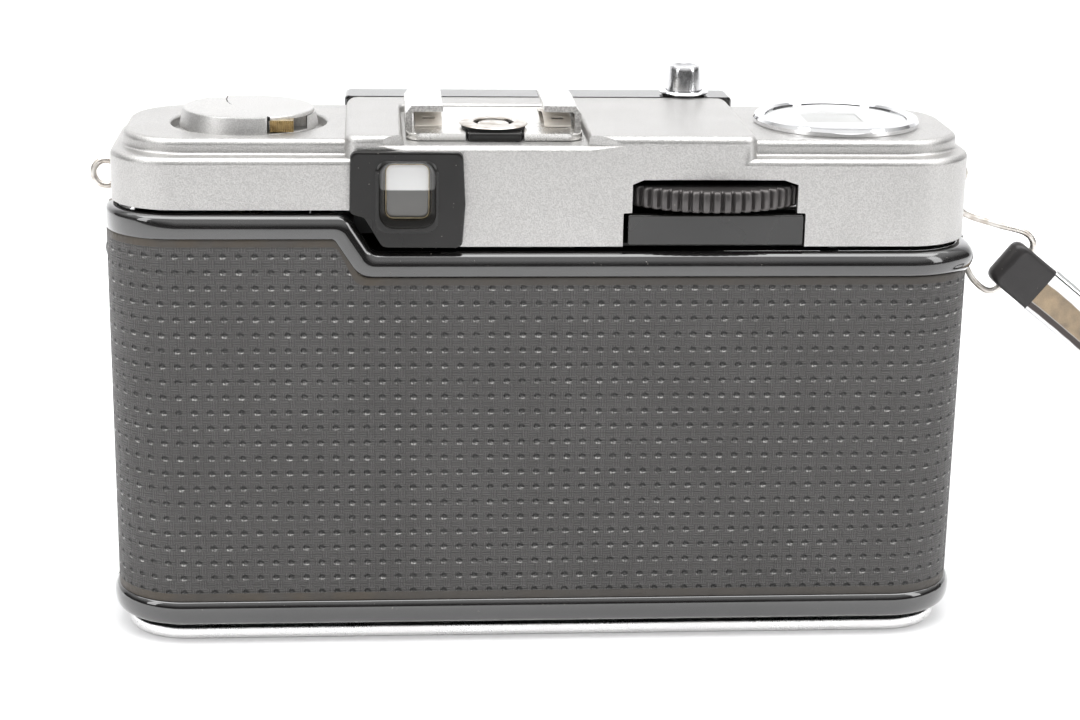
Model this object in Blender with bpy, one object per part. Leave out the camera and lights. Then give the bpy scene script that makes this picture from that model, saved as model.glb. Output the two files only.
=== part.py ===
"""Half frame 35 mm film camera: selenium-metered lens, thumb-wheel advance, hinged back and wrist strap.

Lengths are written in millimetres and turned into metres by MM when a mesh is made.
The lens looks along -Y, the film back faces +Y and +Z is up. The origin is the centre of the base plate's
underside, on which the camera stands.
"""

import math

import bmesh
import bpy
from mathutils import Matrix, Vector

MM = 0.001
SKIN_GAP = 0.1  # clear space behind a leather skin

# Body
HALF_W = 56.5  # half width over the leather
HALF_D = 16.0  # half depth over the leather
CORNER = 9.5
PLATE_TOP = 1.7
BODY_LOW = 2.1
LEATHER_LOW = 5.2
LEATHER_TOP = 50.0
BODY_TOP = 53.1
RIM = 0.15  # enamel rims stand this far proud of the leather
SKIN = 0.5  # leather thickness
WALL = 1.2  # sheet behind the leather
SEAM_Y = 5.0  # parting line between the body and the back door

# Stepped upper edge of the back, from the latch side (+X) to the hinge side (-X)
STEP_HIGH = 58.0
STEP_OUTER_X = 25.4
STEP_INNER_X = 22.2
LEATHER_HIGH = 55.1

# Top cover
COVER_LOW = 53.7
COVER_LOW_LATCH = 58.5
COVER_INSET = 0.8
SHOULDER_TOP = 65.1
PLATEAU_TOP = 67.1
HUMP_TOP = 68.0
CEILING = 65.3
HUMP_LEFT_X = 25.7
HUMP_RIGHT_X = -26.8
HUMP_FRONT_Y = -13.4
SHEET = 0.8

# Film transport
LENS_Z = 27.5
CASSETTE_X = 38.3
CHAMBER_R = 13.0
CHAMBER_LOW = 3.7
CHAMBER_TOP = 51.2
GATE_Y = 13.0
SPOOL_X = -39.5
SPROCKET = (-17.5, 9.0)
WHEEL = (-21.5, 3.7)
WHEEL_R = 14.5
WHEEL_LOW = 58.7
WHEEL_TOP = 61.5
COUNTER_X = -39.5
CRANK_PIVOT = (CASSETTE_X - 3.6, -7.2, 68.3)  # the crank folds up about X, over the knob's far edge

# Back hinge and latch
HINGE = (-55.3, SEAM_Y)
KNUCKLE_R = 1.2
RELIEF_R = 2.1
DOOR_KNUCKLE = (20.0, 36.0)
LATCH_Z = 27.5

# Release
BUTTON = (-21.2, -16.2)
PANEL_TOP = 68.1
PANEL_LOW = 49.8
PANEL_FRONT = -20.0

# Strap, which hangs from the lug on the hinge side
LUG_Y = -8.0
LUG_Z = 58.5
STRAP_SLOPE = math.radians(38.7)
LINK_PIVOT = (-58.55, LUG_Y, 57.8)
TAB_AXIS = (-67.8, LUG_Y, 45.05)
WIRE_R = 0.42

COLOURS = {
    "satin_silver": ((0.74, 0.74, 0.73), 0.42, 1.0),
    "chrome": ((0.82, 0.82, 0.83), 0.12, 1.0),
    "nickel": ((0.50, 0.46, 0.42), 0.35, 1.0),
    "brass": ((0.58, 0.46, 0.26), 0.4, 1.0),
    "black_enamel": ((0.02, 0.02, 0.022), 0.25, 0.0),
    "cast_enamel": ((0.02, 0.02, 0.022), 0.25, 0.0),
    "black_plastic": ((0.03, 0.03, 0.03), 0.4, 0.0),
    "dark_wheel": ((0.06, 0.06, 0.06), 0.45, 0.0),
    "leather": ((0.13, 0.13, 0.13), 0.55, 0.0),
    "steel": ((0.55, 0.55, 0.56), 0.35, 1.0),
    "white_dial": ((0.85, 0.85, 0.83), 0.5, 0.0),
    "glass": ((0.85, 0.88, 0.9), 0.05, 0.0),
    "selenium": ((0.10, 0.11, 0.13), 0.3, 0.6),
    "vinyl": ((0.02, 0.02, 0.02), 0.5, 0.0),
}


# ---------------------------------------------------------------- outlines


def arc(cx, cy, r, start, end, steps=6):
    """Points of an arc between two angles in degrees, both ends included."""
    angles = [math.radians(start + (end - start) * i / steps) for i in range(steps + 1)]
    return [(cx + r * math.cos(a), cy + r * math.sin(a)) for a in angles]


def circle(cx, cy, r, steps=32):
    return arc(cx, cy, r, 0, 360, steps)[:-1]


def rounded_box(x0, x1, y0, y1, r, steps=5):
    """Anticlockwise rectangle with round corners."""
    return (
        arc(x1 - r, y1 - r, r, 0, 90, steps)
        + arc(x0 + r, y1 - r, r, 90, 180, steps)
        + arc(x0 + r, y0 + r, r, 180, 270, steps)
        + arc(x1 - r, y0 + r, r, 270, 360, steps)
    )


def body_outline(offset):
    """Plan of the body, moved outwards by offset."""
    w, d, r = HALF_W + offset, HALF_D + offset, CORNER + offset
    return rounded_box(-w, w, -d, d, r, 6)


def wrap_outline(side, outer, inner, hinge_end, latch_end):
    """Plan of a wall round the back (side 1) or front (side -1), from the hinge side to the latch side."""

    def path(offset):
        cx, cy, r = HALF_W - CORNER, HALF_D - CORNER, CORNER + offset
        rise = [math.degrees(math.asin(max(0.0, side * end - cy) / r)) for end in (hinge_end, latch_end)]
        corners = arc(-cx, cy, r, 180 - rise[0], 90, 8) + arc(cx, cy, r, 90, rise[1], 8)
        start = [(-cx - r, side * hinge_end)] if rise[0] == 0 else []
        finish = [(cx + r, side * latch_end)] if rise[1] == 0 else []
        return start + corners + finish

    loop = path(outer) + path(inner)[::-1]
    return [(x, side * y) for x, y in loop]


def filleted(points, radius, steps=6):
    """An open line with each inner corner rounded."""
    line = [points[0]]
    for before, corner, after in zip(points, points[1:], points[2:]):
        a, c, b = Vector(before), Vector(corner), Vector(after)
        u, v = (a - c).normalized(), (b - c).normalized()
        half = math.acos(max(-1.0, min(1.0, u.dot(v)))) / 2
        reach = radius / math.tan(half)
        middle = c + (u + v).normalized() * radius / math.sin(half)
        start, end = c + u * reach - middle, c + v * reach - middle
        for i in range(steps + 1):
            point = start.slerp(end, i / steps).normalized() * radius
            line.append(tuple(middle + point))
    return line + [points[-1]]


def step_region(high, low, shift, far):
    """Front view of everything between the stepped edge of the back and the level far."""
    line = [(70, high), (STEP_OUTER_X + shift, high), (STEP_INNER_X + shift, low), (-70, low)]
    return filleted(line, 1.7) + [(-70, far), (70, far)]


# ---------------------------------------------------------------- solids


def material(name):
    found = bpy.data.materials.get(name)
    if found:
        return found
    colour, roughness, metallic = COLOURS[name]
    made = bpy.data.materials.new(name)
    made.use_nodes = True
    shader = made.node_tree.nodes["Principled BSDF"]
    shader.inputs["Base Color"].default_value = (*colour, 1)
    shader.inputs["Roughness"].default_value = roughness
    shader.inputs["Metallic"].default_value = metallic
    made.diffuse_color = (*colour, 1)
    return made


def solid(name, bm, paint, pivot=(0, 0, 0)):
    """An object from a mesh in millimetres, with its origin at pivot."""
    bmesh.ops.translate(bm, vec=-Vector(pivot), verts=bm.verts)
    bmesh.ops.scale(bm, vec=(MM, MM, MM), verts=bm.verts)
    bmesh.ops.recalc_face_normals(bm, faces=bm.faces)
    mesh = bpy.data.meshes.new(name)
    bm.to_mesh(mesh)
    bm.free()
    mesh.shade_smooth()
    mesh.set_sharp_from_angle(angle=math.radians(35))
    obj = bpy.data.objects.new(name, mesh)
    obj.location = Vector(pivot) * MM
    bpy.context.scene.collection.objects.link(obj)
    if paint:
        mesh.materials.append(material(paint))
    return obj


def lofted(sections):
    """A mesh through closed sections of the same number of 3-D points."""
    bm = bmesh.new()
    rings = [[bm.verts.new(p) for p in section] for section in sections]
    for low, high in zip(rings, rings[1:]):
        for i in range(len(low)):
            j = (i + 1) % len(low)
            bm.faces.new((low[i], low[j], high[j], high[i]))
    bm.faces.new(rings[0][::-1])
    bm.faces.new(rings[-1])
    return bm


PLACE = {
    "Z": lambda p, level: (p[0], p[1], level),
    "Y": lambda p, level: (p[0], level, p[1]),
    "X": lambda p, level: (level, p[0], p[1]),
}


def prism(name, outline, low, high, paint=None, along="Z", pivot=(0, 0, 0)):
    """An outline carried straight along one axis from low to high."""
    place = PLACE[along]
    sections = [[place(p, level) for p in outline] for level in (low, high)]
    return solid(name, lofted(sections), paint, pivot)


def pillow(name, shape, levels, paint=None):
    """Plan outlines shape(offset) stacked at levels of (z, offset), which round an edge over."""
    sections = [[(x, y, z) for x, y in shape(offset)] for z, offset in levels]
    return solid(name, lofted(sections), paint)


def turned(name, profile, centre, paint=None, along="Z", steps=24, pivot=None):
    """A closed profile of (radius, level) spun about an axis through centre."""
    bm = bmesh.new()
    cx, cy = centre
    rings = []
    for r, level in profile:
        if r == 0:
            rings.append([bm.verts.new(PLACE[along]((cx, cy), level))])
            continue
        rings.append([bm.verts.new(PLACE[along](p, level)) for p in circle(cx, cy, r, steps)])
    for one, two in zip(rings, rings[1:] + rings[:1]):
        if len(one) == len(two) == 1:
            continue
        for i in range(steps):
            j = (i + 1) % steps
            corners = [one[i % len(one)], one[j % len(one)], two[j % len(two)], two[i % len(two)]]
            bm.faces.new(list(dict.fromkeys(corners)))
    middle = (profile[0][1] + profile[-1][1]) / 2
    return solid(name, bm, paint, PLACE[along](centre, middle) if pivot is None else pivot)


def tube(name, points, radius, paint=None, sides=8, pivot=(0, 0, 0)):
    """A wire bent through a closed loop of points."""
    bm = bmesh.new()
    rings = []
    count = len(points)
    side = None
    for i, point in enumerate(points):
        along = (Vector(points[(i + 1) % count]) - Vector(points[i - 1])).normalized()
        side = along.orthogonal() if side is None else side - along * side.dot(along)
        side.normalize()
        up = along.cross(side)
        turn = [2 * math.pi * k / sides for k in range(sides)]
        ring = [Vector(point) + (side * math.cos(a) + up * math.sin(a)) * radius for a in turn]
        rings.append([bm.verts.new(p) for p in ring])
    first = [v.co for v in rings[0]]
    shift = min(range(sides), key=lambda k: (rings[-1][k].co - first[0]).length)
    rings.append(rings[0][-shift:] + rings[0][:-shift] if shift else rings[0])
    for one, two in zip(rings, rings[1:]):
        for k in range(sides):
            n = (k + 1) % sides
            bm.faces.new((one[k], one[n], two[n], two[k]))
    return solid(name, bm, paint, pivot)


def smooth_loop(points, per_span=4):
    """A closed Catmull-Rom curve through the points."""
    out = []
    count = len(points)
    for i in range(count):
        a, b, c, d = (Vector(points[(i + k - 1) % count]) for k in range(4))
        for step in range(per_span):
            t = step / per_span
            out.append(
                0.5 * (2 * b + (c - a) * t + (2 * a - 5 * b + 4 * c - d) * t * t + (3 * b - 3 * c + d - a) * t**3)
            )
    return out


def combine(target, tool, operation):
    """A Boolean on target; the tool stays in the file as a wire helper."""
    tool.hide_render = True
    tool.display_type = "WIRE"
    modifier = target.modifiers.new(f"{operation.lower()} {tool.name}", "BOOLEAN")
    modifier.operation = operation
    modifier.object = tool
    return target


def cut(target, *tools):
    for tool in tools:
        combine(target, tool, "DIFFERENCE")
    return target


def join(target, *tools):
    for tool in tools:
        combine(target, tool, "UNION")
    return target


def ride(child, parent):
    """Parents a piece to the piece that carries it, without moving it."""
    child.parent = parent
    child.matrix_parent_inverse = Matrix.Translation(-parent.location)
    return child


# ---------------------------------------------------------------- body


def body_casting():
    w, d = HALF_W + RIM, HALF_D + RIM
    core = HALF_W - SKIN - WALL - 2 * SKIN_GAP
    cx, cy = HALF_W - CORNER, HALF_D - CORNER
    bend = core - cx
    turn = math.degrees(math.asin((GATE_Y - cy) / bend))
    outline = (
        [(w, SEAM_Y - 0.15), (core, SEAM_Y - 0.15)]
        + arc(cx, cy, bend, 0, turn, 5)
        + arc(-cx, cy, bend, 180 - turn, 180, 5)
        + [(-core, SEAM_Y - 0.15), (-w, SEAM_Y - 0.15)]
        + arc(-w + CORNER, -d + CORNER, CORNER, 180, 270, 8)
        + arc(w - CORNER, -d + CORNER, CORNER, 270, 360, 8)
    )
    casting = prism("body_casting", outline, BODY_LOW, BODY_TOP, "cast_enamel")
    raised = rounded_box(27.5, core - 1.6, -12.5, GATE_Y - 0.5, 7.0, 4)
    join(casting, prism("cassette_roof", raised, BODY_TOP - 2, STEP_HIGH - 0.4))
    pocket = wrap_outline(-1, 3.0, -SKIN - SKIN_GAP, SEAM_Y - RELIEF_R, SEAM_Y - 0.8)
    cut(casting, prism("front_leather_pocket", pocket, LEATHER_LOW, LEATHER_TOP))
    cassette = rounded_box(CASSETTE_X - CHAMBER_R, CASSETTE_X + CHAMBER_R, -CHAMBER_R, 30, CHAMBER_R - 1, 10)
    take_up = rounded_box(SPOOL_X - CHAMBER_R, SPOOL_X + CHAMBER_R, -CHAMBER_R, 30, CHAMBER_R - 1, 10)
    cut(
        casting,
        prism("cassette_chamber", cassette, CHAMBER_LOW, CHAMBER_TOP),
        prism("take_up_chamber", take_up, CHAMBER_LOW, CHAMBER_TOP),
        prism("sprocket_well", circle(*SPROCKET, 5.6, 24), 7.5, 47.5),
        prism("light_chamber", rounded_box(-11, 11, LENS_Z - 15, LENS_Z + 15, 2, 3), -12, GATE_Y - 2, along="Y"),
        prism("film_aperture", rounded_box(-9.2, 9.2, LENS_Z - 12.2, LENS_Z + 12.2, 0.8, 2), 5, 30, along="Y"),
        prism("lens_seat", circle(0, LENS_Z, 12.2, 32), -30, -8.6, along="Y"),
    )
    cut(
        casting,
        prism("rewind_bearing", circle(CASSETTE_X, 0, 3.2, 24), 45, 70),
        prism("wheel_bearing", circle(*WHEEL, 2.55, 24), 50.0, 70),
        prism("sprocket_bearing_top", circle(*SPROCKET, 1.55, 20), 40, 50.5),
        prism("sprocket_bearing_low", circle(*SPROCKET, 1.55, 20), 4.0, 20),
        prism("spool_bearing_low", circle(SPOOL_X, 0, 2.05, 20), 2.9, 10),
        prism("counter_bearing", circle(COUNTER_X, 0, 1.3, 20), 45, 70),
        prism("tripod_seat", circle(0, -8, 5.7, 32), -5, 8.6),
        prism("rewind_release_seat", circle(-18.5, -6, 2.6, 24), -5, 7.6),
    )
    for i, x in enumerate((-24.5, 24.5)):
        cut(casting, prism(f"base_screw_seat_{i}", circle(x, 10.0, 1.3, 16), -5, 7.5))
    slot = rounded_box(-5.3, 5.3, LATCH_Z - 7.8, LATCH_Z + 7.8, 1.0, 2)
    cut(casting, prism("latch_slot", slot, HALF_W - 1.9, 70, along="X"))
    low, high = DOOR_KNUCKLE
    cut(casting, prism("casting_hinge_relief", circle(*HINGE, RELIEF_R, 24), low, high))
    for i, (start, end) in enumerate(((BODY_LOW + 0.2, low - 0.15), (high + 0.15, BODY_TOP - 0.2))):
        join(casting, prism(f"casting_knuckle_{i}", circle(*HINGE, KNUCKLE_R, 20), start, end))
    return cut(casting, prism("casting_pin_bore", circle(*HINGE, 0.6, 16), 6.3, 48.7))


def front_leather():
    outline = wrap_outline(-1, 0, -SKIN, SEAM_Y - RELIEF_R - 0.2, SEAM_Y - 1.0)
    leather = prism("front_leather", outline, LEATHER_LOW + SKIN_GAP, LEATHER_TOP - SKIN_GAP, "leather")
    cut(leather, prism("lens_window", circle(0, LENS_Z, 21.0, 40), -30, -10, along="Y"))
    opening = rounded_box(-6.1, 5.6, LATCH_Z - 8.6, LATCH_Z + 8.6, 1.0, 2)
    return cut(leather, prism("latch_window", opening, 50, 70, along="X"))


def bottom_plate():
    def shape(offset):
        return body_outline(-1.2 + offset)

    levels = [(0, -0.6), (0.25, -0.2), (0.7, 0), (1.45, 0), (PLATE_TOP, -0.2)]
    plate = pillow("bottom_plate", shape, levels, "satin_silver")
    cut(plate, prism("tripod_hole", circle(0, -8, 5.75, 32), -5, 5))
    cut(plate, prism("rewind_release_hole", circle(-18.5, -6, 2.35, 24), -5, 5))
    for i, x in enumerate((-24.5, 24.5)):
        cut(plate, turned(f"screw_sink_{i}", [(0, -1), (2.5, -1), (2.5, 0.3), (1.4, 1.3), (1.4, 4), (0, 4)], (x, 10.0)))
    return plate


def bottom_fittings():
    turned("tripod_socket", [(3.1, 0.1), (5.4, 0.1), (5.4, 8.2), (3.1, 8.2)], (0, -8), "steel", steps=20)
    profile = [(0, 0.3), (1.7, 0.3), (2.0, 0.6), (2.0, 3.2), (1.2, 3.2), (1.2, 5.4), (0, 5.4)]
    turned("rewind_release_button", profile, (-18.5, -6), "steel", steps=24)
    for i, x in enumerate((-24.5, 24.5)):
        profile = [(0, 0.15), (2.1, 0.15), (2.1, 0.4), (1.0, 1.4), (1.0, 7.0), (0, 7.0)]
        screw = turned(f"base_screw_{i + 1}", profile, (x, 10.0), "steel", steps=16)
        cut(screw, prism(f"screw_slot_{i}", rounded_box(x - 3, x + 3, 9.75, 10.25, 0.05, 1), -1, 0.5))


# ---------------------------------------------------------------- top cover


def plateau_shape(offset):
    return rounded_box(-54.6 - offset, 54.2 + offset, -12.8 - offset, 12.8 + offset, 8.6 + offset, 6)


def hump_shape(offset):
    back = HALF_D - COVER_INSET
    return rounded_box(HUMP_RIGHT_X - offset, HUMP_LEFT_X + offset, HUMP_FRONT_Y, back + offset, 1.6 + offset, 4)


def top_cover():
    def shell(offset):
        return body_outline(-COVER_INSET + offset)

    levels = [(COVER_LOW, 0), (SHOULDER_TOP - 0.5, 0), (SHOULDER_TOP - 0.15, -0.15), (SHOULDER_TOP, -0.5)]
    cover = pillow("top_cover", shell, levels, "satin_silver")
    rise = PLATEAU_TOP - 64
    edge = [(64, 0), (64 + rise - 0.9, 0), (64 + rise - 0.5, -0.12), (64 + rise - 0.15, -0.45), (64 + rise, -0.9)]
    join(cover, pillow("plateaus", plateau_shape, edge))
    rise = HUMP_TOP - 60
    edge = [(60, 0), (60 + rise - 0.8, 0), (60 + rise - 0.4, -0.1), (60 + rise - 0.1, -0.4), (60 + rise, -0.8)]
    join(cover, pillow("hump", hump_shape, edge))
    cut(cover, prism("cover_inside", body_outline(-COVER_INSET - SHEET), 50, SHOULDER_TOP - 1.0))
    cut(cover, prism("plateau_inside", plateau_shape(-1.0), 60, CEILING))
    cut(cover, prism("hump_inside", hump_shape(-1.0), 60, CEILING + 0.4))
    latch_side = rounded_box(13.5, 70, SEAM_Y + 0.1, 30, 0.5, 1)
    cut(cover, prism("latch_side_edge", latch_side, 50, COVER_LOW_LATCH))
    shoe = rounded_box(-5.6, 18.9, -8.2, 30, 1.2, 3)
    cut(cover, prism("shoe_recess", shoe, HUMP_TOP - 1.25, 80))
    cut(cover, prism("knob_recess", circle(CASSETTE_X, 0, 10.15, 36), PLATEAU_TOP - 1.3, 80))
    cut(cover, prism("rewind_hole", circle(CASSETTE_X, 0, 3.2, 24), 60, 80))
    cut(cover, prism("counter_hole", circle(COUNTER_X, 0, 9.8, 32), 60, 80))
    cut(cover, prism("release_well", circle(*BUTTON, 2.75, 28), 61, 80))
    cut(cover, prism("eyepiece_hole", rounded_box(13.6, 21.8, 54.0, 65.0, 0.8, 2), 10, 30, along="Y"))
    cut(cover, prism("front_window_hole", rounded_box(12.6, 23.0, 55.9, 65.0, 0.8, 2), -30, -10, along="Y"))
    window = [(-32.0, 50), (-32.0, 61.8), (-30.2, 62.4), (-12.2, 62.4), (-10.8, 61.8), (-10.8, 50)]
    cut(cover, prism("wheel_window", window, 10, 30, along="Y"))
    cut(cover, prism("guard_window", rounded_box(-33.1, -9.7, 50, 58.1, 0.2, 1), 10, 30, along="Y"))
    for side in (-1, 1):
        cut(cover, prism(f"lug_hole_{side}", circle(LUG_Y, LUG_Z, 1.0, 16), side * 50, side * 60, along="X"))
    return cover


def eyepiece():
    outline = (
        filleted([(18, 66.5), (24.9, 66.2), (25.1, 58.3), (23.2, 57.8), (20.9, 53.9), (15, 53.85)], 0.7, 4)
        + filleted([(14, 53.85), (10.8, 54.0), (10.5, 60), (10.8, 66.2), (17, 66.5)], 0.7, 4)
    )
    frame = prism("eyepiece_frame", outline, 15.35, 16.5, "black_plastic", along="Y")
    join(frame, prism("eyepiece_lip", rounded_box(14.3, 21.7, 56.0, 65.0, 1.3, 3), 15.8, 16.9, along="Y"))
    join(frame, prism("eyepiece_spigot", rounded_box(13.9, 21.5, 56.0, 64.7, 0.8, 2), 11.5, 16.0, along="Y"))
    cut(frame, prism("eyepiece_bore", rounded_box(15.0, 20.6, 57.3, 64.3, 1.0, 3), 5, 30, along="Y"))
    cut(frame, prism("eyepiece_seat", rounded_box(14.5, 21.0, 56.8, 64.3, 0.6, 2), 5, 14.7, along="Y"))
    prism("eyepiece_glass", rounded_box(14.8, 20.7, 57.1, 64.0, 0.6, 2), 12.6, 14.4, "glass", along="Y")


def viewfinder():
    outer = rounded_box(11.4, 24.6, 54.6, 65.0, 0.6, 2)
    tunnel = prism("viewfinder_tube", outer, -11.8, 11.2, "black_plastic", along="Y")
    sections = [
        [(x, -13.0, z) for x, z in rounded_box(12.4, 23.6, 55.6, 64.0, 0.6, 2)],
        [(x, 13.0, z) for x, z in rounded_box(14.8, 20.8, 57.1, 64.1, 0.6, 2)],
    ]
    cut(tunnel, solid("sight_line", lofted(sections), None))
    prism("front_window", rounded_box(11.7, 23.8, 55.2, 65.2, 0.8, 2), -19.3, -18.2, "glass", along="Y")


def front_panel():
    """Black bezel on the front of the hump, with the sight window and the release guide."""
    levels = [(PANEL_LOW, -0.4), (PANEL_LOW + 0.4, 0), (PANEL_TOP - 0.5, 0), (PANEL_TOP, -0.5)]

    def shape(offset):
        box = (HUMP_RIGHT_X - 0.9 - offset, HUMP_LEFT_X + 0.3 + offset, PANEL_FRONT - offset)
        return rounded_box(*box, HUMP_FRONT_Y - 0.1, 1.2 + offset, 4)

    panel = pillow("front_panel", shape, levels, "black_enamel")
    hollow = rounded_box(HUMP_RIGHT_X + 0.4, HUMP_LEFT_X - 0.9, PANEL_FRONT + 1.3, -5, 0.8, 2)
    cut(panel, prism("panel_inside", hollow, PANEL_LOW + 3.2, PANEL_TOP - 1.4))
    body = rounded_box(-40, 40, -16.4, 0, 0.2, 1)
    cut(panel, prism("panel_seat", body, 40, SHOULDER_TOP + 0.1))
    cut(panel, prism("release_hole", circle(*BUTTON, 2.6, 28), 60, 80))
    cut(panel, prism("window_opening", rounded_box(12.8, 22.8, 56.2, 64.2, 1.0, 3), -40, -15, along="Y"))
    cut(panel, prism("window_rebate", rounded_box(11.4, 24.1, 54.9, 65.5, 0.8, 2), -19.4, -15, along="Y"))
    return panel


def release():
    turned("release_collar", [(2.55, 68.3), (3.2, 68.3), (3.36, 68.5), (3.2, 68.75), (2.55, 68.75)], BUTTON, "chrome")
    profile = [(0, 62.5), (1.0, 62.5), (1.0, 65.8), (2.3, 65.8), (2.45, 66.1), (2.45, 68.9), (2.1, 71.6)]
    turned("release_button", profile + [(1.8, 71.9), (0, 71.75)], BUTTON, "chrome", steps=24)


def accessory_shoe():
    x, low = 6.65, HUMP_TOP - 1.25 + 0.1
    base = prism("shoe_bracket", rounded_box(x - 11.3, x + 11.3, -7.2, 12.0, 1.5, 3), low, low + 0.9, "steel")
    for side in (-1, 1):
        section = [(side * 11.3, 0.3), (side * 11.3, 3.0), (side * 10.6, 3.75), (side * 6.45, 3.75)]
        section += [(side * 6.45, 3.0), (side * 10.3, 3.0), (side * 10.3, 0.3)]
        rail = [(x + u, low + v) for u, v in section]
        join(base, prism(f"shoe_rail_{side}", rail, -6.7, 8.2, along="Y"))
    cut(base, prism("insulator_slot", rounded_box(x - 3.7, x + 3.7, 3.0, 20, 0.6, 2), 50, 90))
    tab = rounded_box(x - 3.5, x + 3.5, 3.2, 11.9, 0.5, 2)
    prism("shoe_insulator", tab, low + 0.1, low + 0.95, "black_plastic")
    profile = [(0, low + 1.1), (4.25, low + 1.1), (4.25, low + 1.25), (2.9, low + 1.5), (2.4, low + 1.3)]
    turned("shoe_contact", profile + [(1.9, low + 1.55), (0, low + 1.6)], (x, 7.2), "steel")


def frame_counter():
    centre = (COUNTER_X, 0)
    ring = [(9.3, 65.9), (9.6, 65.9), (9.6, 67.2), (10.9, 67.2), (10.9, 67.75), (10.65, 68.0), (9.7, 68.0), (9.3, 67.7)]
    turned("counter_bezel", ring, centre, "chrome", steps=24)
    dome = [(0, 67.5), (9.1, 66.9), (9.1, 67.6), (7.9, 68.1), (5.4, 68.5), (2.7, 68.7), (0, 68.75)]
    turned("counter_window", dome, centre, "glass", steps=24)
    dial = [(0, 51.0), (1.2, 51.0), (1.2, 65.8), (8.8, 65.8), (8.8, 66.2), (0, 66.2)]
    turned("counter_dial", dial, centre, "white_dial", steps=28)


# ---------------------------------------------------------------- film transport


def gear_outline(centre, radius, depth, teeth, phase=0.0):
    """A wheel rim with flat-topped teeth, as used on the thumb wheel and the sprockets."""
    cx, cy = centre
    out = []
    for k in range(teeth):
        for share, r in ((0.0, radius - depth), (0.18, radius), (0.62, radius), (0.8, radius - depth)):
            a = 2 * math.pi * (k + share + phase) / teeth
            out.append((cx + r * math.cos(a), cy + r * math.sin(a)))
    return out


def film_transport():
    rim = gear_outline(WHEEL, WHEEL_R, 0.7, 48)
    wheel = prism("advance_wheel", rim, WHEEL_LOW, WHEEL_TOP, "dark_wheel", pivot=(*WHEEL, WHEEL_LOW))
    join(wheel, prism("wheel_hub", circle(*WHEEL, 2.5, 24), 50.4, 60.0))
    join(wheel, prism("wheel_boss", circle(*WHEEL, 5.0, 28), 54.5, WHEEL_LOW + 0.5))
    guard = rounded_box(-32.85, -10.3, 54.0, 57.9, 0.15, 1)
    prism("wheel_guard", guard, 14.2, 15.4, "black_plastic", along="Y")

    shaft = turned(
        "sprocket_shaft",
        [(0, 4.3), (1.5, 4.3), (1.5, 9.0), (3.4, 9.0), (3.4, 46.0), (1.5, 46.0), (1.5, 50.2), (0, 50.2)],
        SPROCKET,
        "steel",
        steps=16,
    )
    for i, z in enumerate((LENS_Z - 14.4, LENS_Z + 12.8)):
        join(shaft, prism(f"sprocket_{i}", gear_outline(SPROCKET, 5.0, 1.0, 8), z, z + 1.6))

    spool = turned(
        "take_up_spool",
        [(0, 3.2), (2.0, 3.2), (2.0, 5.0), (8.0, 5.0), (8.0, 6.2), (5.5, 6.2)]
        + [(5.5, 48.6), (8.0, 48.6), (8.0, 49.8), (0, 49.8)],
        (SPOOL_X, 0),
        "black_plastic",
        steps=20,
    )
    cut(spool, prism("film_slot", rounded_box(SPOOL_X - 0.8, SPOOL_X + 0.8, -9, 9, 0.3, 1), 10, 45))


def rewind():
    centre = (CASSETTE_X, 0)
    collar = [(1.75, 58.5), (2.9, 58.5), (2.9, 60.5), (1.75, 60.5)]
    turned("rewind_collar", collar, centre, "brass", steps=24)
    fork = turned(
        "rewind_fork",
        [(0, 46.2), (2.6, 46.2), (2.6, 52.0), (1.7, 52.0), (1.7, 66.3), (0, 66.3)],
        centre,
        "steel",
        steps=16,
    )
    cut(fork, prism("fork_slot", rounded_box(CASSETTE_X - 0.9, CASSETTE_X + 0.9, -5, 5, 0.2, 1), 40, 50))
    base, top = PLATEAU_TOP - 0.5, 68.8
    profile = [(0, base), (9.0, base), (9.0, top - 0.5), (8.6, top), (0, top)]
    knob = turned("rewind_knob", profile, centre, "satin_silver", steps=36)
    swing = rounded_box(CASSETTE_X - 12, CASSETTE_X + 5.45, -12, CRANK_PIVOT[1] + 1.25, 0.2, 1)
    cut(knob, prism("crank_pocket", crank_outline(10.0, 0.15), base + 0.7, 80))
    cut(knob, prism("crank_swing_notch", swing, 60, 80))
    crank = prism("rewind_crank", crank_outline(8.55, 0), base + 1.1, top - 0.05, "satin_silver", pivot=CRANK_PIVOT)
    grip = rounded_box(CASSETTE_X - 6.7, CASSETTE_X - 2.8, 5.6, 8.3, 0.5, 2)
    join(crank, prism("crank_grip", grip, base + 0.85, top - 0.5))
    return knob, crank


def crank_outline(radius, shift):
    """Plan of the folding crank: the knob's top on the hinge side of an S-shaped split."""
    split = [(-1.8, 8.35), (-1.2, 4.5), (1.2, 1.0), (3.2, -2.2), (5.3, -6.65)]
    curve = [(CASSETTE_X + x + shift, y) for x, y in split]
    start = math.degrees(math.atan2(split[-1][1], split[-1][0])) + 360
    end = math.degrees(math.atan2(split[0][1], split[0][0]))
    return curve + arc(CASSETTE_X, 0, radius, start, end, 20)


# ---------------------------------------------------------------- lens and shutter


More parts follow.
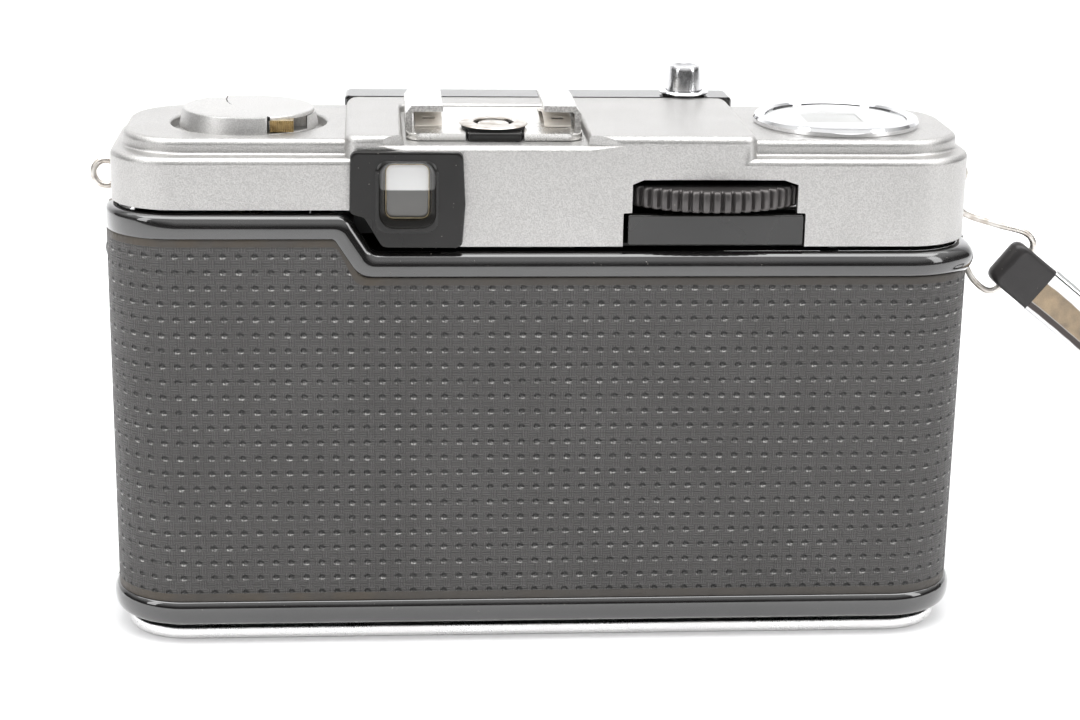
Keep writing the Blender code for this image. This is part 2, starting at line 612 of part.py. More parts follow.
def lens():
    axis = (0, LENS_Z)
    plate = [(12.4, -16.3), (22.0, -16.3), (22.0, -17.5), (21.6, -18.0), (12.4, -18.0)]
    turned("lens_mount_plate", plate, axis, "satin_silver", "Y", 32)
    barrel = [(8.6, -9.0), (12.0, -9.0), (12.0, -18.2), (17.0, -18.2), (17.0, -24.0), (20.8, -24.0), (20.8, -31.0)]
    barrel += [(20.6, -31.2), (20.1, -31.2), (20.1, -28.6), (12.6, -28.6), (12.6, -30.0), (9.4, -30.0)]
    barrel += [(9.4, -26.0), (8.6, -26.0), (8.6, -17.0), (11.3, -17.0), (11.3, -13.0), (8.6, -13.0)]
    turned("lens_barrel", barrel, axis, "black_plastic", "Y", 32)
    ring = [(17.3, -18.4), (21.2, -18.4), (21.2, -23.3), (20.9, -23.7), (17.3, -23.7)]
    turned("aperture_ring", ring, axis, "satin_silver", "Y", 32)
    turned("selenium_cell", [(13.0, -28.9), (19.8, -28.9), (19.8, -29.5), (13.0, -29.5)], axis, "selenium", "Y", 32)
    window = [(12.9, -29.8), (19.8, -29.8), (19.8, -31.3), (12.9, -31.3)]
    turned("cell_window", window, axis, "glass", "Y", 32)
    speed = [(9.7, -30.3), (12.5, -30.3), (12.5, -32.2), (12.1, -32.6), (10.1, -32.6), (9.7, -32.0)]
    turned("film_speed_ring", speed, axis, "black_plastic", "Y", 32)
    turned("front_lens", [(0, -24.5), (8.9, -26.4), (8.9, -27.6), (5, -29.0), (0, -29.5)], axis, "glass", "Y", 24)
    turned("rear_lens", [(0, -9.0), (4, -9.3), (8.2, -10.2), (8.2, -11.4), (0, -11.9)], axis, "glass", "Y", 24)
    turned("shutter_base", [(4.2, -13.3), (11.0, -13.3), (11.0, -13.9), (4.2, -13.9)], axis, "steel", "Y", 24)


def shutter_blade(name, side, level):
    """A half-moon blade that swings about a pin above the aperture."""
    pivot = (side * 3.4, LENS_Z + 8.6)
    half = arc(0, LENS_Z, 4.8, -100, 60, 12) if side > 0 else arc(0, LENS_Z, 4.8, 280, 120, 12)
    head = arc(*pivot, 1.3, 0, 180, 6) if side > 0 else arc(*pivot, 1.3, 180, 0, 6)
    outline = [(-side * 0.6, LENS_Z - 4.7)] + half + head + [(-side * 0.6, LENS_Z + 4.6)]
    prism(name, outline, level - 0.25, level, "black_plastic", "Y", pivot=(pivot[0], level, pivot[1]))


# ---------------------------------------------------------------- back door


def back_door():
    ends = (SEAM_Y + 0.15, SEAM_Y + 0.15)
    outline = wrap_outline(1, RIM, -SKIN - WALL, *ends)
    door = prism("back_door", outline, BODY_LOW, STEP_HIGH, "black_enamel")
    cut(door, prism("door_step", step_region(STEP_HIGH + 0.5, BODY_TOP, 0, 80), 0, 40, along="Y"))
    pocket = wrap_outline(1, 3.0, -SKIN - SKIN_GAP, SEAM_Y + RELIEF_R, SEAM_Y + 0.8)
    recess = prism("door_leather_pocket", pocket, LEATHER_LOW, LEATHER_HIGH)
    above = prism("door_band", step_region(LEATHER_HIGH + 1, LEATHER_TOP, 1.6, 80), -5, 40, along="Y")
    cut(recess, above)
    cut(door, recess)
    low, high = DOOR_KNUCKLE
    for i, (start, end) in enumerate(((0, low), (high, 70))):
        cut(door, prism(f"door_hinge_relief_{i}", circle(*HINGE, RELIEF_R, 24), start, end))
    join(door, prism("door_knuckle", circle(*HINGE, KNUCKLE_R, 20), low + 0.15, high - 0.15))
    cut(door, prism("door_pin_bore", circle(*HINGE, 0.6, 16), 0, 70))
    return door


def door_leather():
    outline = wrap_outline(1, 0, -SKIN, SEAM_Y + RELIEF_R + 0.2, SEAM_Y + 1.0)
    leather = prism("door_leather", outline, LEATHER_LOW + SKIN_GAP, LEATHER_HIGH - SKIN_GAP, "leather")
    region = step_region(LEATHER_HIGH + 1, LEATHER_TOP - SKIN_GAP, 1.7, 80)
    return cut(leather, prism("leather_edge", region, -5, 40, along="Y"))


def pressure_plate():
    plate = rounded_box(-11.8, 15.8, LENS_Z - 18, LENS_Z + 18, 1.5, 3)
    prism("pressure_plate", plate, GATE_Y + 0.15, GATE_Y + 0.55, "black_enamel", along="Y")
    spring = rounded_box(-8.0, 12.0, LENS_Z - 3, LENS_Z + 3, 1.0, 2)
    prism("pressure_spring", spring, GATE_Y + 0.75, GATE_Y + 0.85, "steel", along="Y")


def hinge_pin():
    turned("hinge_pin", [(0, 6.5), (0.5, 6.5), (0.5, 48.5), (0, 48.5)], HINGE, "steel", steps=12)


def door_latch():
    x = HALF_W - 1.7
    plate = prism("door_latch", rounded_box(-5.0, 5.0, LATCH_Z - 4.0, LATCH_Z + 7.4, 0.9, 2), x, x + 1.0, "nickel", "X")
    for i in range(4):
        z = LATCH_Z - 1.0 + 1.6 * i
        join(plate, prism(f"latch_rib_{i}", rounded_box(-3.6, 3.6, z, z + 0.8, 0.2, 1), x + 0.5, x + 1.9, along="X"))
    return plate


# ---------------------------------------------------------------- lugs and strap


def lug(name, side):
    ring_x = side * 58.0
    points = [(ring_x + 1.75 * math.cos(a), LUG_Y, LUG_Z + 1.75 * math.sin(a)) for a in turns(16)]
    ring = tube(name, points, 0.42, "nickel", sides=6)
    post = prism(f"{name}_post", circle(LUG_Y, LUG_Z, 0.75, 10), side * 53.5, side * 56.37, along="X")
    foot = prism(f"{name}_foot", circle(LUG_Y, LUG_Z, 1.55, 12), side * 53.2, side * 53.85, along="X")
    return join(ring, post, foot)


def turns(count):
    return [2 * math.pi * i / count for i in range(count)]


def strap_frame():
    """Unit vectors along the strap and across it, in the plane it lies in by the camera."""
    along = Vector((-math.cos(STRAP_SLOPE), 0, -math.sin(STRAP_SLOPE)))
    across = Vector((-math.sin(STRAP_SLOPE), 0, math.cos(STRAP_SLOPE)))
    return along, across


def strap_link():
    """Wire link: through the lug along Y, then opened out to carry the strap tab."""
    along, across = strap_frame()
    tab = Vector(TAB_AXIS)
    top, low = tab + across * 3.9, tab - across * 3.9
    y = LUG_Y
    points = [
        (LINK_PIVOT[0], y - 1.2, LINK_PIVOT[2]),
        (LINK_PIVOT[0], y + 1.2, LINK_PIVOT[2]),
        (-58.7, y + 1.7, 55.4),
        (-59.7, y + 1.2, 53.2),
        (-64.6, y + 0.4, 51.4),
        (-69.0, y + 0.1, 50.1),
        tuple(top),
        tuple(tab + across * 1.3),
        tuple(tab - across * 1.3),
        tuple(low),
        (-63.6, y - 0.1, 42.0),
        (-61.4, y - 0.5, 44.3),
        (-59.9, y - 1.2, 49.0),
        (-59.0, y - 1.7, 54.0),
    ]
    return tube("strap_link", smooth_loop(points, 3), WIRE_R, "nickel", sides=6, pivot=LINK_PIVOT)


def slab(name, start, end, half_width, half_depth, paint, round_start=False, pivot=(0, 0, 0)):
    """A flat bar along the strap between two distances from the tab's hinge line."""
    along, across = strap_frame()
    origin = Vector(TAB_AXIS)
    side = [(end, half_depth), (end, -half_depth)]
    if round_start:
        side += arc(start + half_depth, 0, half_depth, 270, 90, 8)
    else:
        side += [(start, -half_depth), (start, half_depth)]
    sections = [
        [origin + along * s + Vector((0, d, 0)) + across * w for s, d in side] for w in (-half_width, half_width)
    ]
    return solid(name, lofted(sections), paint, pivot)


def bored(part, name, radius):
    """Drills a part along the tab's hinge line."""
    along, across = strap_frame()
    origin = Vector(TAB_AXIS)
    ring = [(math.cos(a) * radius, math.sin(a) * radius) for a in turns(16)]
    sections = [[origin + along * u + Vector((0, v, 0)) + across * w for u, v in ring] for w in (-9, 9)]
    return cut(part, solid(name, lofted(sections), None))


def strap():
    tab = slab("strap_tab", -2.7, 4.3, 3.3, 1.75, "vinyl", round_start=True, pivot=TAB_AXIS)
    bored(tab, "tab_bore", 0.62)
    sleeve = slab("strap_sleeve", 4.6, 34.0, 3.6, 1.7, "chrome")
    band = wrist_strap()
    ride(sleeve, tab)
    ride(band, tab)
    return tab


def wrist_strap():
    """Flat band that leaves the sleeve, comes down to the table and loops back, standing on its edge."""
    along, across = strap_frame()
    origin = Vector(TAB_AXIS) + along * 34.4
    half_width, half_thick = 3.0, 0.7
    floor = half_width + 0.35
    tip_x, turn_r = -168.0, 13.0

    def level(x):
        """Height of the band's centre, easing from the sleeve's slope to the table."""
        run = 46.0
        t = min(1.0, max(0.0, (origin.x - x) / run))
        return floor + (origin.z - floor) * (1 - t) ** 2 * (1 + 0.35 * t)

    def spread(x):
        """Distance of each half of the loop from the middle plane."""
        t = min(1.0, max(0.0, (origin.x - x) / (origin.x - tip_x - turn_r)))
        return 0.95 + (turn_r - 0.95) * t * t * (3 - 2 * t)

    count = 18
    reach = origin.x - (tip_x + turn_r)
    xs = [origin.x - reach * i / count for i in range(count + 1)]
    going = [(x, origin.y - spread(x)) for x in xs]
    bend = [(tip_x + turn_r - turn_r * math.sin(a), origin.y - turn_r * math.cos(a)) for a in turns(24)[1:12]]
    plan = going + bend + [(x, 2 * origin.y - y) for x, y in going[::-1]]
    sections = []
    for i, (x, y) in enumerate(plan):
        before, after = plan[max(i - 1, 0)], plan[min(i + 1, len(plan) - 1)]
        heading = Vector((after[0] - before[0], after[1] - before[1], 0)).normalized()
        normal = Vector((-heading.y, heading.x, 0))
        lean = min(1.0, max(0.0, (origin.x - x) / 40.0))
        width = across.lerp(Vector((0, 0, 1)), lean).normalized()
        middle = Vector((x, y, level(x)))
        corners = ((-1, -1), (1, -1), (1, 1), (-1, 1))
        sections.append([middle + normal * half_thick * a + width * half_width * b for a, b in corners])
    return solid("wrist_strap", lofted(sections), "vinyl")


def main():
    for obj in list(bpy.data.objects):
        bpy.data.objects.remove(obj, do_unlink=True)
    body_casting()
    front_leather()
    bottom_plate()
    bottom_fittings()
    top_cover()
    eyepiece()
    viewfinder()
    front_panel()
    release()
    accessory_shoe()
    frame_counter()
    film_transport()
    knob, crank = rewind()
    ride(crank, knob)
    lens()
    shutter_blade("shutter_blade_1", 1, -14.3)
    shutter_blade("shutter_blade_2", -1, -15.0)
    back_door()
    door_leather()
    pressure_plate()
    hinge_pin()
    door_latch()
    lug("lug_left", 1)
    lug("lug_right", -1)
    link = strap_link()
    ride(strap(), link)


main()
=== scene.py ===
"""Looks of the half frame camera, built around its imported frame.

Lengths are in millimetres and turned into metres by MM when a mesh is made. The lens looks along -Y, the film back
faces +Y and the rewind side is +X, as in the frame. Positions come from the frame's nodes where they have one.
"""

from math import acos, asin, atan2, cos, degrees, exp, pi, radians, sin, tan

import bmesh
import bpy
from mathutils import Matrix, Vector


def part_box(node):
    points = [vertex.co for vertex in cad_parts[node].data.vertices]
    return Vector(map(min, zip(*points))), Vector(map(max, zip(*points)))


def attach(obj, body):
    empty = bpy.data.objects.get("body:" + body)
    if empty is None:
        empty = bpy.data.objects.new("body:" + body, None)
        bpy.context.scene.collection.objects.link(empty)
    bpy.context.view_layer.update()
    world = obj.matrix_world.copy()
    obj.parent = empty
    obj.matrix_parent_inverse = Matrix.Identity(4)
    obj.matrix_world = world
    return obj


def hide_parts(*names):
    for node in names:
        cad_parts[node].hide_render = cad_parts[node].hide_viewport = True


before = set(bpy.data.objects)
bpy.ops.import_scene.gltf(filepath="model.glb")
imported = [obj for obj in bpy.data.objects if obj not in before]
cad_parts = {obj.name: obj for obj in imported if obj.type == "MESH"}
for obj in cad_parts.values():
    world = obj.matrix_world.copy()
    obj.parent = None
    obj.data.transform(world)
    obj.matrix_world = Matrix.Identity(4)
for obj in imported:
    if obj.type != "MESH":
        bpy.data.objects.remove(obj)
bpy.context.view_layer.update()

MM = 0.001


def span(node):
    """A CAD node's lowest and highest corners, in millimetres."""
    low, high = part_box(node)
    return low / MM, high / MM


def centre(node):
    low, high = span(node)
    return (low + high) / 2


# Body, read from the frame
LEATHER = span("door_leather")
CASTING = span("body_casting")
COVER = span("top_cover")
DOOR = span("back_door")
HALF_W, HALF_D = LEATHER[1].x, LEATHER[1].y
CORNER = 9.5
SEAM_Y = 5.0
BODY_LOW = CASTING[0].z
BODY_TOP = 53.1
LEATHER_LOW = LEATHER[0].z - 0.1
LEATHER_TOP = 50.0
LEATHER_EDGE = LEATHER_TOP - 0.1
LEATHER_STEP = 54.9  # upper edge of the back's leather on the rewind side
TRIM_HIGH, TRIM_LOW = 7.2, 6.75  # where the leather's pattern ends and its plain lower strip begins
STEP_HIGH = DOOR[1].z
STEP_OUTER_X, STEP_INNER_X = 25.4, 22.2
STEP_LEAN = 0.541  # how far the step's edge runs sideways for each millimetre of depth
SCREWS = ((-24.5, 10.0), (24.5, 10.0))
TRIPOD, STUD = (0, -8), (-18.5, -6)

# Top cover
COVER_LOW, HUMP_TOP = COVER[0].z, COVER[1].z
COVER_INSET = HALF_W - COVER[1].x
COVER_LOW_LATCH = 58.5
SHOULDER_TOP = 65.1
PLATEAU_TOP = 67.1
CEILING = 65.3
HUMP_LEFT_X, HUMP_RIGHT_X, HUMP_FRONT_Y = 25.7, -26.8, -13.4
SHEET = 0.8

# Mechanism
LENS_Z = centre("lens_mount_plate").z
CASSETTE_X = centre("rewind_fork").x
CHAMBER_R = 13.0
GATE_Y = 13.0
SPOOL_X = centre("take_up_spool").x
SPROCKET = centre("sprocket_shaft").xy
WHEEL = centre("advance_wheel").xy
WHEEL_R = 14.5
COUNTER_X = centre("counter_bezel").x
HINGE = (centre("hinge_pin").x, centre("hinge_pin").y)
BUTTON = centre("release_button").xy
KNOB_TOP = span("rewind_knob")[1].z
KNOB_LOW = span("rewind_knob")[0].z
RELIEF_R = 2.1

# Strap
LUG_Y, LUG_Z = centre("lug_left").y, centre("lug_left").z
STRAP_SLOPE = radians(38.7)
STRAP_ALONG = Vector((-cos(STRAP_SLOPE), 0, -sin(STRAP_SLOPE)))
STRAP_ACROSS = Vector((-sin(STRAP_SLOPE), 0, cos(STRAP_SLOPE)))
TAB_AXIS = Vector((-67.8, LUG_Y, 45.05))
LINK_PIVOT = (-58.55, LUG_Y, 57.8)
SLEEVE_END = 34.4  # where the band leaves the clamp, from the tab's axis


# ---------------------------------------------------------------- outlines


def arc(cx, cy, r, start, end, steps=12):
    """Points of an arc between two angles in degrees, both ends included."""
    angles = [radians(start + (end - start) * i / steps) for i in range(steps + 1)]
    return [(cx + r * cos(a), cy + r * sin(a)) for a in angles]


def circle(cx, cy, r, steps=64):
    return arc(cx, cy, r, 0, 360, steps)[:-1]


def rounded_box(x0, x1, y0, y1, r, steps=8):
    """Anticlockwise rectangle with round corners."""
    return (
        arc(x1 - r, y1 - r, r, 0, 90, steps)
        + arc(x0 + r, y1 - r, r, 90, 180, steps)
        + arc(x0 + r, y0 + r, r, 180, 270, steps)
        + arc(x1 - r, y0 + r, r, 270, 360, steps)
    )


def grown(x0, x1, y0, y1, r, steps=8):
    """A rounded box as a function of how far it has grown."""
    return lambda offset: rounded_box(x0 - offset, x1 + offset, y0 - offset, y1 + offset, r + offset, steps)


def body_outline(offset, steps=16):
    w, d, r = HALF_W + offset, HALF_D + offset, CORNER + offset
    return rounded_box(-w, w, -d, d, r, steps)


def filleted(points, radii, steps=8, closed=False):
    """A line of points with its inner corners, or all corners of a closed one, rounded."""
    count = len(points)
    turning = range(count) if closed else range(1, count - 1)
    line = [] if closed else [tuple(points[0])]
    for i in turning:
        radius = radii[i % len(radii)] if closed else radii[(i - 1) % len(radii)]
        a, c, b = Vector(points[i - 1]), Vector(points[i]), Vector(points[(i + 1) % count])
        u, v = (a - c).normalized(), (b - c).normalized()
        half = acos(max(-1.0, min(1.0, u.dot(v)))) / 2
        reach = radius / tan(half)
        middle = c + (u + v).normalized() * radius / sin(half)
        start, end = c + u * reach - middle, c + v * reach - middle
        line.append(tuple(middle + start))
        line += [tuple(middle + start.slerp(end, k / steps).normalized() * radius) for k in range(1, steps)]
        line.append(tuple(middle + end))
    return line if closed else line + [tuple(points[-1])]


def wrap_point(s, out, side=1):
    """Plan point at arc length s from the middle of the back (side 1) or front (side -1), moved outwards by out."""
    flat, bend = HALF_W - CORNER, CORNER * pi / 2
    sign, run = (1 if s >= 0 else -1), abs(s)
    if run <= flat:
        x, y = run, HALF_D + out
    elif run <= flat + bend:
        a = (run - flat) / CORNER
        x = flat + (CORNER + out) * sin(a)
        y = HALF_D - CORNER + (CORNER + out) * cos(a)
    else:
        x, y = HALF_W + out, HALF_D - CORNER - (run - flat - bend)
    return sign * x, side * y


def wrap_end(y):
    """Arc length at which the wrap reaches depth y on the body's side."""
    return HALF_W - CORNER + CORNER * pi / 2 + (HALF_D - CORNER - y)


def wrap_columns(end, inner):
    """Arc lengths from an end of the wrap to inner, with steps round the corner."""
    flat, bend = HALF_W - CORNER, CORNER * pi / 2
    straight = [end + (flat + bend - end) * k / 3 for k in range(3)]
    return straight + [flat + bend * k / 20 for k in range(20, -1, -1)] + inner


def hinge_columns(end):
    """Arc lengths from the hinge side's corner to an end of the wrap."""
    return [-s for s in wrap_columns(end, [])[::-1]]


def quarter(radius, start, end, steps=6):
    """(rise, inset) pairs of a round edge between two angles, for a wall that ends in a flat top."""
    angles = [radians(start + (end - start) * k / steps) for k in range(steps + 1)]
    return [(radius * sin(a), radius * (cos(a) - 1)) for a in angles]


# ---------------------------------------------------------------- meshes


def placed(name, bm):
    """An object in the scene from a mesh in metres."""
    mesh = bpy.data.meshes.new(name)
    bm.to_mesh(mesh)
    bm.free()
    obj = bpy.data.objects.new(name, mesh)
    bpy.context.scene.collection.objects.link(obj)
    return obj


def solid(name, bm):
    """An object in the scene from a mesh in millimetres."""
    bmesh.ops.scale(bm, vec=(MM, MM, MM), verts=bm.verts)
    bmesh.ops.recalc_face_normals(bm, faces=bm.faces)
    return placed(name, bm)


def bridge(bm, rings):
    """Quads between each ring of vertices and the next."""
    for one, two in zip(rings, rings[1:]):
        for i in range(len(one)):
            j = (i + 1) % len(one)
            bm.faces.new((one[i], one[j], two[j], two[i]))


def lofted(name, sections):
    """A skin through closed sections of the same number of points, capped at both ends."""
    bm = bmesh.new()
    rings = [[bm.verts.new(p) for p in section] for section in sections]
    bridge(bm, rings)
    bm.faces.new(rings[0][::-1])
    bm.faces.new(rings[-1])
    return solid(name, bm)


PLACE = {
    "Z": lambda p, level: (p[0], p[1], level),
    "Y": lambda p, level: (p[0], level, p[1]),
    "X": lambda p, level: (level, p[0], p[1]),
}


def prism(name, outline, low, high, along="Z"):
    return lofted(name, [[PLACE[along](p, level) for p in outline] for level in (low, high)])


def block(name, box, low, high, along="Z"):
    return prism(name, rounded_box(*box), low, high, along)


def rod(name, disc, low, high, along="Z"):
    return prism(name, circle(*disc), low, high, along)


def pillow(name, shape, levels, along="Z"):
    """Outlines shape(offset) stacked at levels of (level, offset), which round an edge over."""
    return lofted(name, [[PLACE[along](p, level) for p in shape(offset)] for level, offset in levels])


def turned(name, profile, centre, along="Z", steps=96):
    """A closed profile of (radius, level) spun about an axis through centre."""
    bm = bmesh.new()
    cx, cy = centre
    rings = []
    for r, level in profile:
        around = [(cx, cy)] if r == 0 else circle(cx, cy, r, steps)
        rings.append([bm.verts.new(PLACE[along](p, level)) for p in around])
    for one, two in zip(rings, rings[1:] + rings[:1]):
        if len(one) == len(two) == 1:
            continue
        for i in range(steps):
            j = (i + 1) % steps
            corners = [one[i % len(one)], one[j % len(one)], two[j % len(two)], two[i % len(two)]]
            bm.faces.new(list(dict.fromkeys(corners)))
    return solid(name, bm)


def tube(name, points, radius, sides=16, closed=True):
    """A round wire along points."""
    count = len(points)
    sections = []
    side = None
    for i, point in enumerate(points):
        before = points[i - 1] if closed or i else point
        after = points[(i + 1) % count] if closed or i < count - 1 else point
        along = (Vector(after) - Vector(before)).normalized()
        side = along.orthogonal() if side is None else side - along * side.dot(along)
        side.normalize()
        up = along.cross(side)
        turn = [2 * pi * k / sides for k in range(sides)]
        sections.append([Vector(point) + (side * cos(a) + up * sin(a)) * radius for a in turn])
    if not closed:
        return lofted(name, sections)
    shift = min(range(sides), key=lambda k: (sections[0][k] - sections[-1][0]).length)
    bm = bmesh.new()
    rings = [[bm.verts.new(p) for p in section] for section in sections]
    bridge(bm, rings + [rings[0][shift:] + rings[0][:shift]])
    return solid(name, bm)


def smooth_loop(points, per_span=8):
    """A closed Catmull-Rom curve through the points."""
    out = []
    count = len(points)
    for i in range(count):
        a, b, c, d = (Vector(points[(i + k - 1) % count]) for k in range(4))
        for step in range(per_span):
            t = step / per_span
            out.append(
                0.5 * (2 * b + (c - a) * t + (2 * a - 5 * b + 4 * c - d) * t * t + (3 * b - 3 * c + d - a) * t**3)
            )
    return out


def bake(obj):
    """Turns an object's modifiers into its mesh."""
    graph = bpy.context.evaluated_depsgraph_get()
    mesh = bpy.data.meshes.new_from_object(obj.evaluated_get(graph))
    obj.modifiers.clear()
    old, obj.data = obj.data, mesh
    bpy.data.meshes.remove(old)
    return obj


def carve(target, *tools, operation="DIFFERENCE"):
    for tool in tools:
        modifier = target.modifiers.new("carve", "BOOLEAN")
        modifier.operation = operation
        modifier.object = tool
        bake(target)
        bpy.data.objects.remove(tool)
    return target


def merge(target, *tools):
    return carve(target, *tools, operation="UNION")


def together(name, *objs):
    """Several meshes as one piece, without a Boolean."""
    bm = bmesh.new()
    for obj in objs:
        bm.from_mesh(obj.data)
        bpy.data.objects.remove(obj)
    return placed(name, bm)


def soften(obj, width, segments=3, angle=30):
    """Rounds the sharp edges over by width, in millimetres."""
    modifier = obj.modifiers.new("bevel", "BEVEL")
    modifier.width = width * MM
    modifier.segments = segments
    modifier.limit_method = "ANGLE"
    modifier.angle_limit = radians(angle)
    modifier.miter_outer = "MITER_ARC"
    return bake(obj)


def finish(obj, paint, body, slot, *replaced, crease=40):
    """Smooth shading, the finish, the body that it rides on and the CAD nodes that it stands for."""
    obj.data.shade_smooth()
    obj.data.set_sharp_from_angle(angle=radians(crease))
    weighted = obj.modifiers.new("weighted normals", "WEIGHTED_NORMAL")
    weighted.keep_sharp = True
    bake(obj)
    obj.data.materials.clear()
    obj.data.materials.append(paint)
    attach(obj, body)
    if replaced:
        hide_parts(*replaced)
    return obj


# ---------------------------------------------------------------- finishes


class Finish:
    """A node material round one Principled shader, with short ways to add nodes. Lengths are in millimetres."""

    def __init__(self, name, colour, roughness, metallic=0.0, **sockets):
        self.material = bpy.data.materials.new(name)
        self.material.use_nodes = True
        self.tree = self.material.node_tree
        self.shader = self.tree.nodes["Principled BSDF"]
        self.shader.inputs["Base Color"].default_value = (*colour, 1)
        self.shader.inputs["Roughness"].default_value = roughness
        self.shader.inputs["Metallic"].default_value = metallic
        for socket, value in sockets.items():
            self.shader.inputs[socket.replace("_", " ").title().replace("Ior", "IOR")].default_value = value
        self.material.diffuse_color = (*colour, 1)
        self.where = self.add("ShaderNodeTexCoord").outputs["Object"]

    def add(self, kind, inputs=None, **settings):
        node = self.tree.nodes.new(kind)
        for key, value in settings.items():
            setattr(node, key, value)
        for key, value in (inputs or {}).items():
            if isinstance(value, bpy.types.NodeSocket):
                self.tree.links.new(value, node.inputs[key])
            else:
                node.inputs[key].default_value = value
        return node

    def math(self, operation, *values):
        node = self.add("ShaderNodeMath", dict(enumerate(values)), operation=operation)
        return node.outputs[0]

    def times(self, *values):
        product = values[0]
        for value in values[1:]:
            product = self.math("MULTIPLY", product, value)
        return product

    def hypotenuse(self, one, two):
        squares = self.math("POWER", one, 2.0), self.math("POWER", two, 2.0)
        return self.math("SQRT", self.math("ADD", *squares))

    def noise(self, size, detail=2.0, where=None, roughness=0.5, stretch=None):
        """Noise whose lumps are about size millimetres across."""
        at = where or self.where
        if stretch:
            at = self.add("ShaderNodeMapping", {"Vector": at, "Scale": stretch}).outputs[0]
        inputs = {"Vector": at, "Scale": 1 / (size * MM), "Detail": detail, "Roughness": roughness}
        return self.add("ShaderNodeTexNoise", inputs).outputs["Fac"]

    def remap(self, value, low, high, out_low, out_high, smooth=False):
        inputs = {"Value": value, "From Min": low, "From Max": high, "To Min": out_low, "To Max": out_high}
        kind = "SMOOTHSTEP" if smooth else "LINEAR"
        return self.add("ShaderNodeMapRange", inputs, interpolation_type=kind).outputs["Result"]

    def patches(self, size, detail, low, high, out_low=0, out_high=1):
        """Noise spread from out_low to out_high between two of its levels."""
        return self.remap(self.noise(size, detail), low, high, out_low, out_high)

    def mix(self, share, one, two):
        node = self.add("ShaderNodeMix", data_type="RGBA")
        for socket, value in ((node.inputs[0], share), (node.inputs[6], one), (node.inputs[7], two)):
            if isinstance(value, bpy.types.NodeSocket):
                self.tree.links.new(value, socket)
            else:
                socket.default_value = (*value, 1) if isinstance(value, tuple) else value
        return node.outputs[2]

    def drive(self, socket, value):
        self.tree.links.new(value, self.shader.inputs[socket])

    def colour(self, value):
        self.drive("Base Color", value)

    def roughness(self, value):
        self.drive("Roughness", value)

    def bump(self, height, depth, strength=1.0, under=None):
        """Relief of depth millimetres on the surface, on top of any other relief."""
        inputs = {"Height": height, "Distance": depth * MM, "Strength": strength}
        if under:
            inputs["Normal"] = under
        normal = self.add("ShaderNodeBump", inputs).outputs["Normal"]
        self.drive("Normal", normal)
        return normal


def metal(name, colour, roughness, grain, grain_depth, smudge=0.06, tint=0.05, scratches=0.0):
    """Metal with a fine grain, uneven sheen, slight tint changes and, if asked, hairline scratches."""
    made = Finish(name, colour, roughness, 1.0)
    blotch = made.noise(9.0, 3.0)
    fine = made.noise(grain, 1.0)
    uneven = made.math("ADD", made.remap(blotch, 0.3, 0.7, -smudge, smudge), made.remap(fine, 0.3, 0.7, -0.04, 0.04))
    made.roughness(made.math("ADD", uneven, roughness))
    dark = tuple(c * (1 - tint) for c in colour)
    light = tuple(min(1.0, c * (1 + tint)) for c in colour)
    made.colour(made.mix(made.remap(fine, 0.35, 0.65, 0, 1), dark, light))
    relief = made.bump(fine, grain_depth)
    if scratches:
        lines = made.noise(0.25, 2.0, stretch=(0.02, 1.0, 1.0))
        made.bump(made.remap(lines, 0.66, 0.7, 0, 1), scratches, under=relief)
    return made


def nickel():
    """Dull nickel with brown tarnish in patches."""
    made = metal("dull nickel", (0.56, 0.51, 0.46), 0.32, 0.35, 0.006, 0.1, 0.08)
    made.colour(made.mix(made.patches(1.6, 4.0, 0.45, 0.62), (0.70, 0.67, 0.63), (0.50, 0.45, 0.40)))
    return made.material


def spring_steel():
    """Tinned leaf springs, slightly yellowed."""
    made = Finish("tinned spring", (0.78, 0.74, 0.68), 0.38, 0.25)
    made.colour(made.mix(made.noise(1.4, 3.0), (0.84, 0.81, 0.77), (0.70, 0.63, 0.54)))
    made.bump(made.noise(0.3, 2.0), 0.006)
    return made.material


def clamp_chrome():
    """Plated clamp with a tan band along its middle and a dark band below it, both set in its colour."""
    made = metal("clamp chrome", (0.84, 0.84, 0.84), 0.16, 0.8, 0.002, 0.04, 0.02)
    along = made.add("ShaderNodeVectorMath", {0: made.where, 1: tuple(STRAP_ACROSS)}, operation="DOT_PRODUCT")
    w = made.math("DIVIDE", made.math("SUBTRACT", along.outputs["Value"], TAB_AXIS.dot(STRAP_ACROSS) * MM), MM)
    w = made.math("ADD", w, made.patches(6.0, 2.0, 0.3, 0.7, -0.1, 0.1))
    # A tan band along the middle of the clamp and a dark band below it, set in the colour across its width.
    tone_mask = made.times(made.remap(w, 1.4, 1.2, 0, 1), made.remap(w, -2.1, -1.9, 0, 1))
    line = made.times(made.remap(w, -1.9, -2.1, 0, 1), made.remap(w, -3.0, -2.8, 0, 1))
    brassy = made.mix(made.patches(2.6, 3.0, 0.35, 0.65), (0.32, 0.25, 0.17), (0.19, 0.155, 0.12))
    tone = made.mix(line, made.mix(tone_mask, (0.84, 0.84, 0.84), brassy), (0.07, 0.062, 0.06))
    made.colour(tone)
    return made.material


def brass():
    made = metal("brass", (0.62, 0.50, 0.30), 0.34, 0.3, 0.01, 0.08, 0.1)
    made.colour(made.mix(made.patches(0.9, 3.0, 0.45, 0.65), (0.66, 0.55, 0.36), (0.42, 0.33, 0.20)))
    return made.material


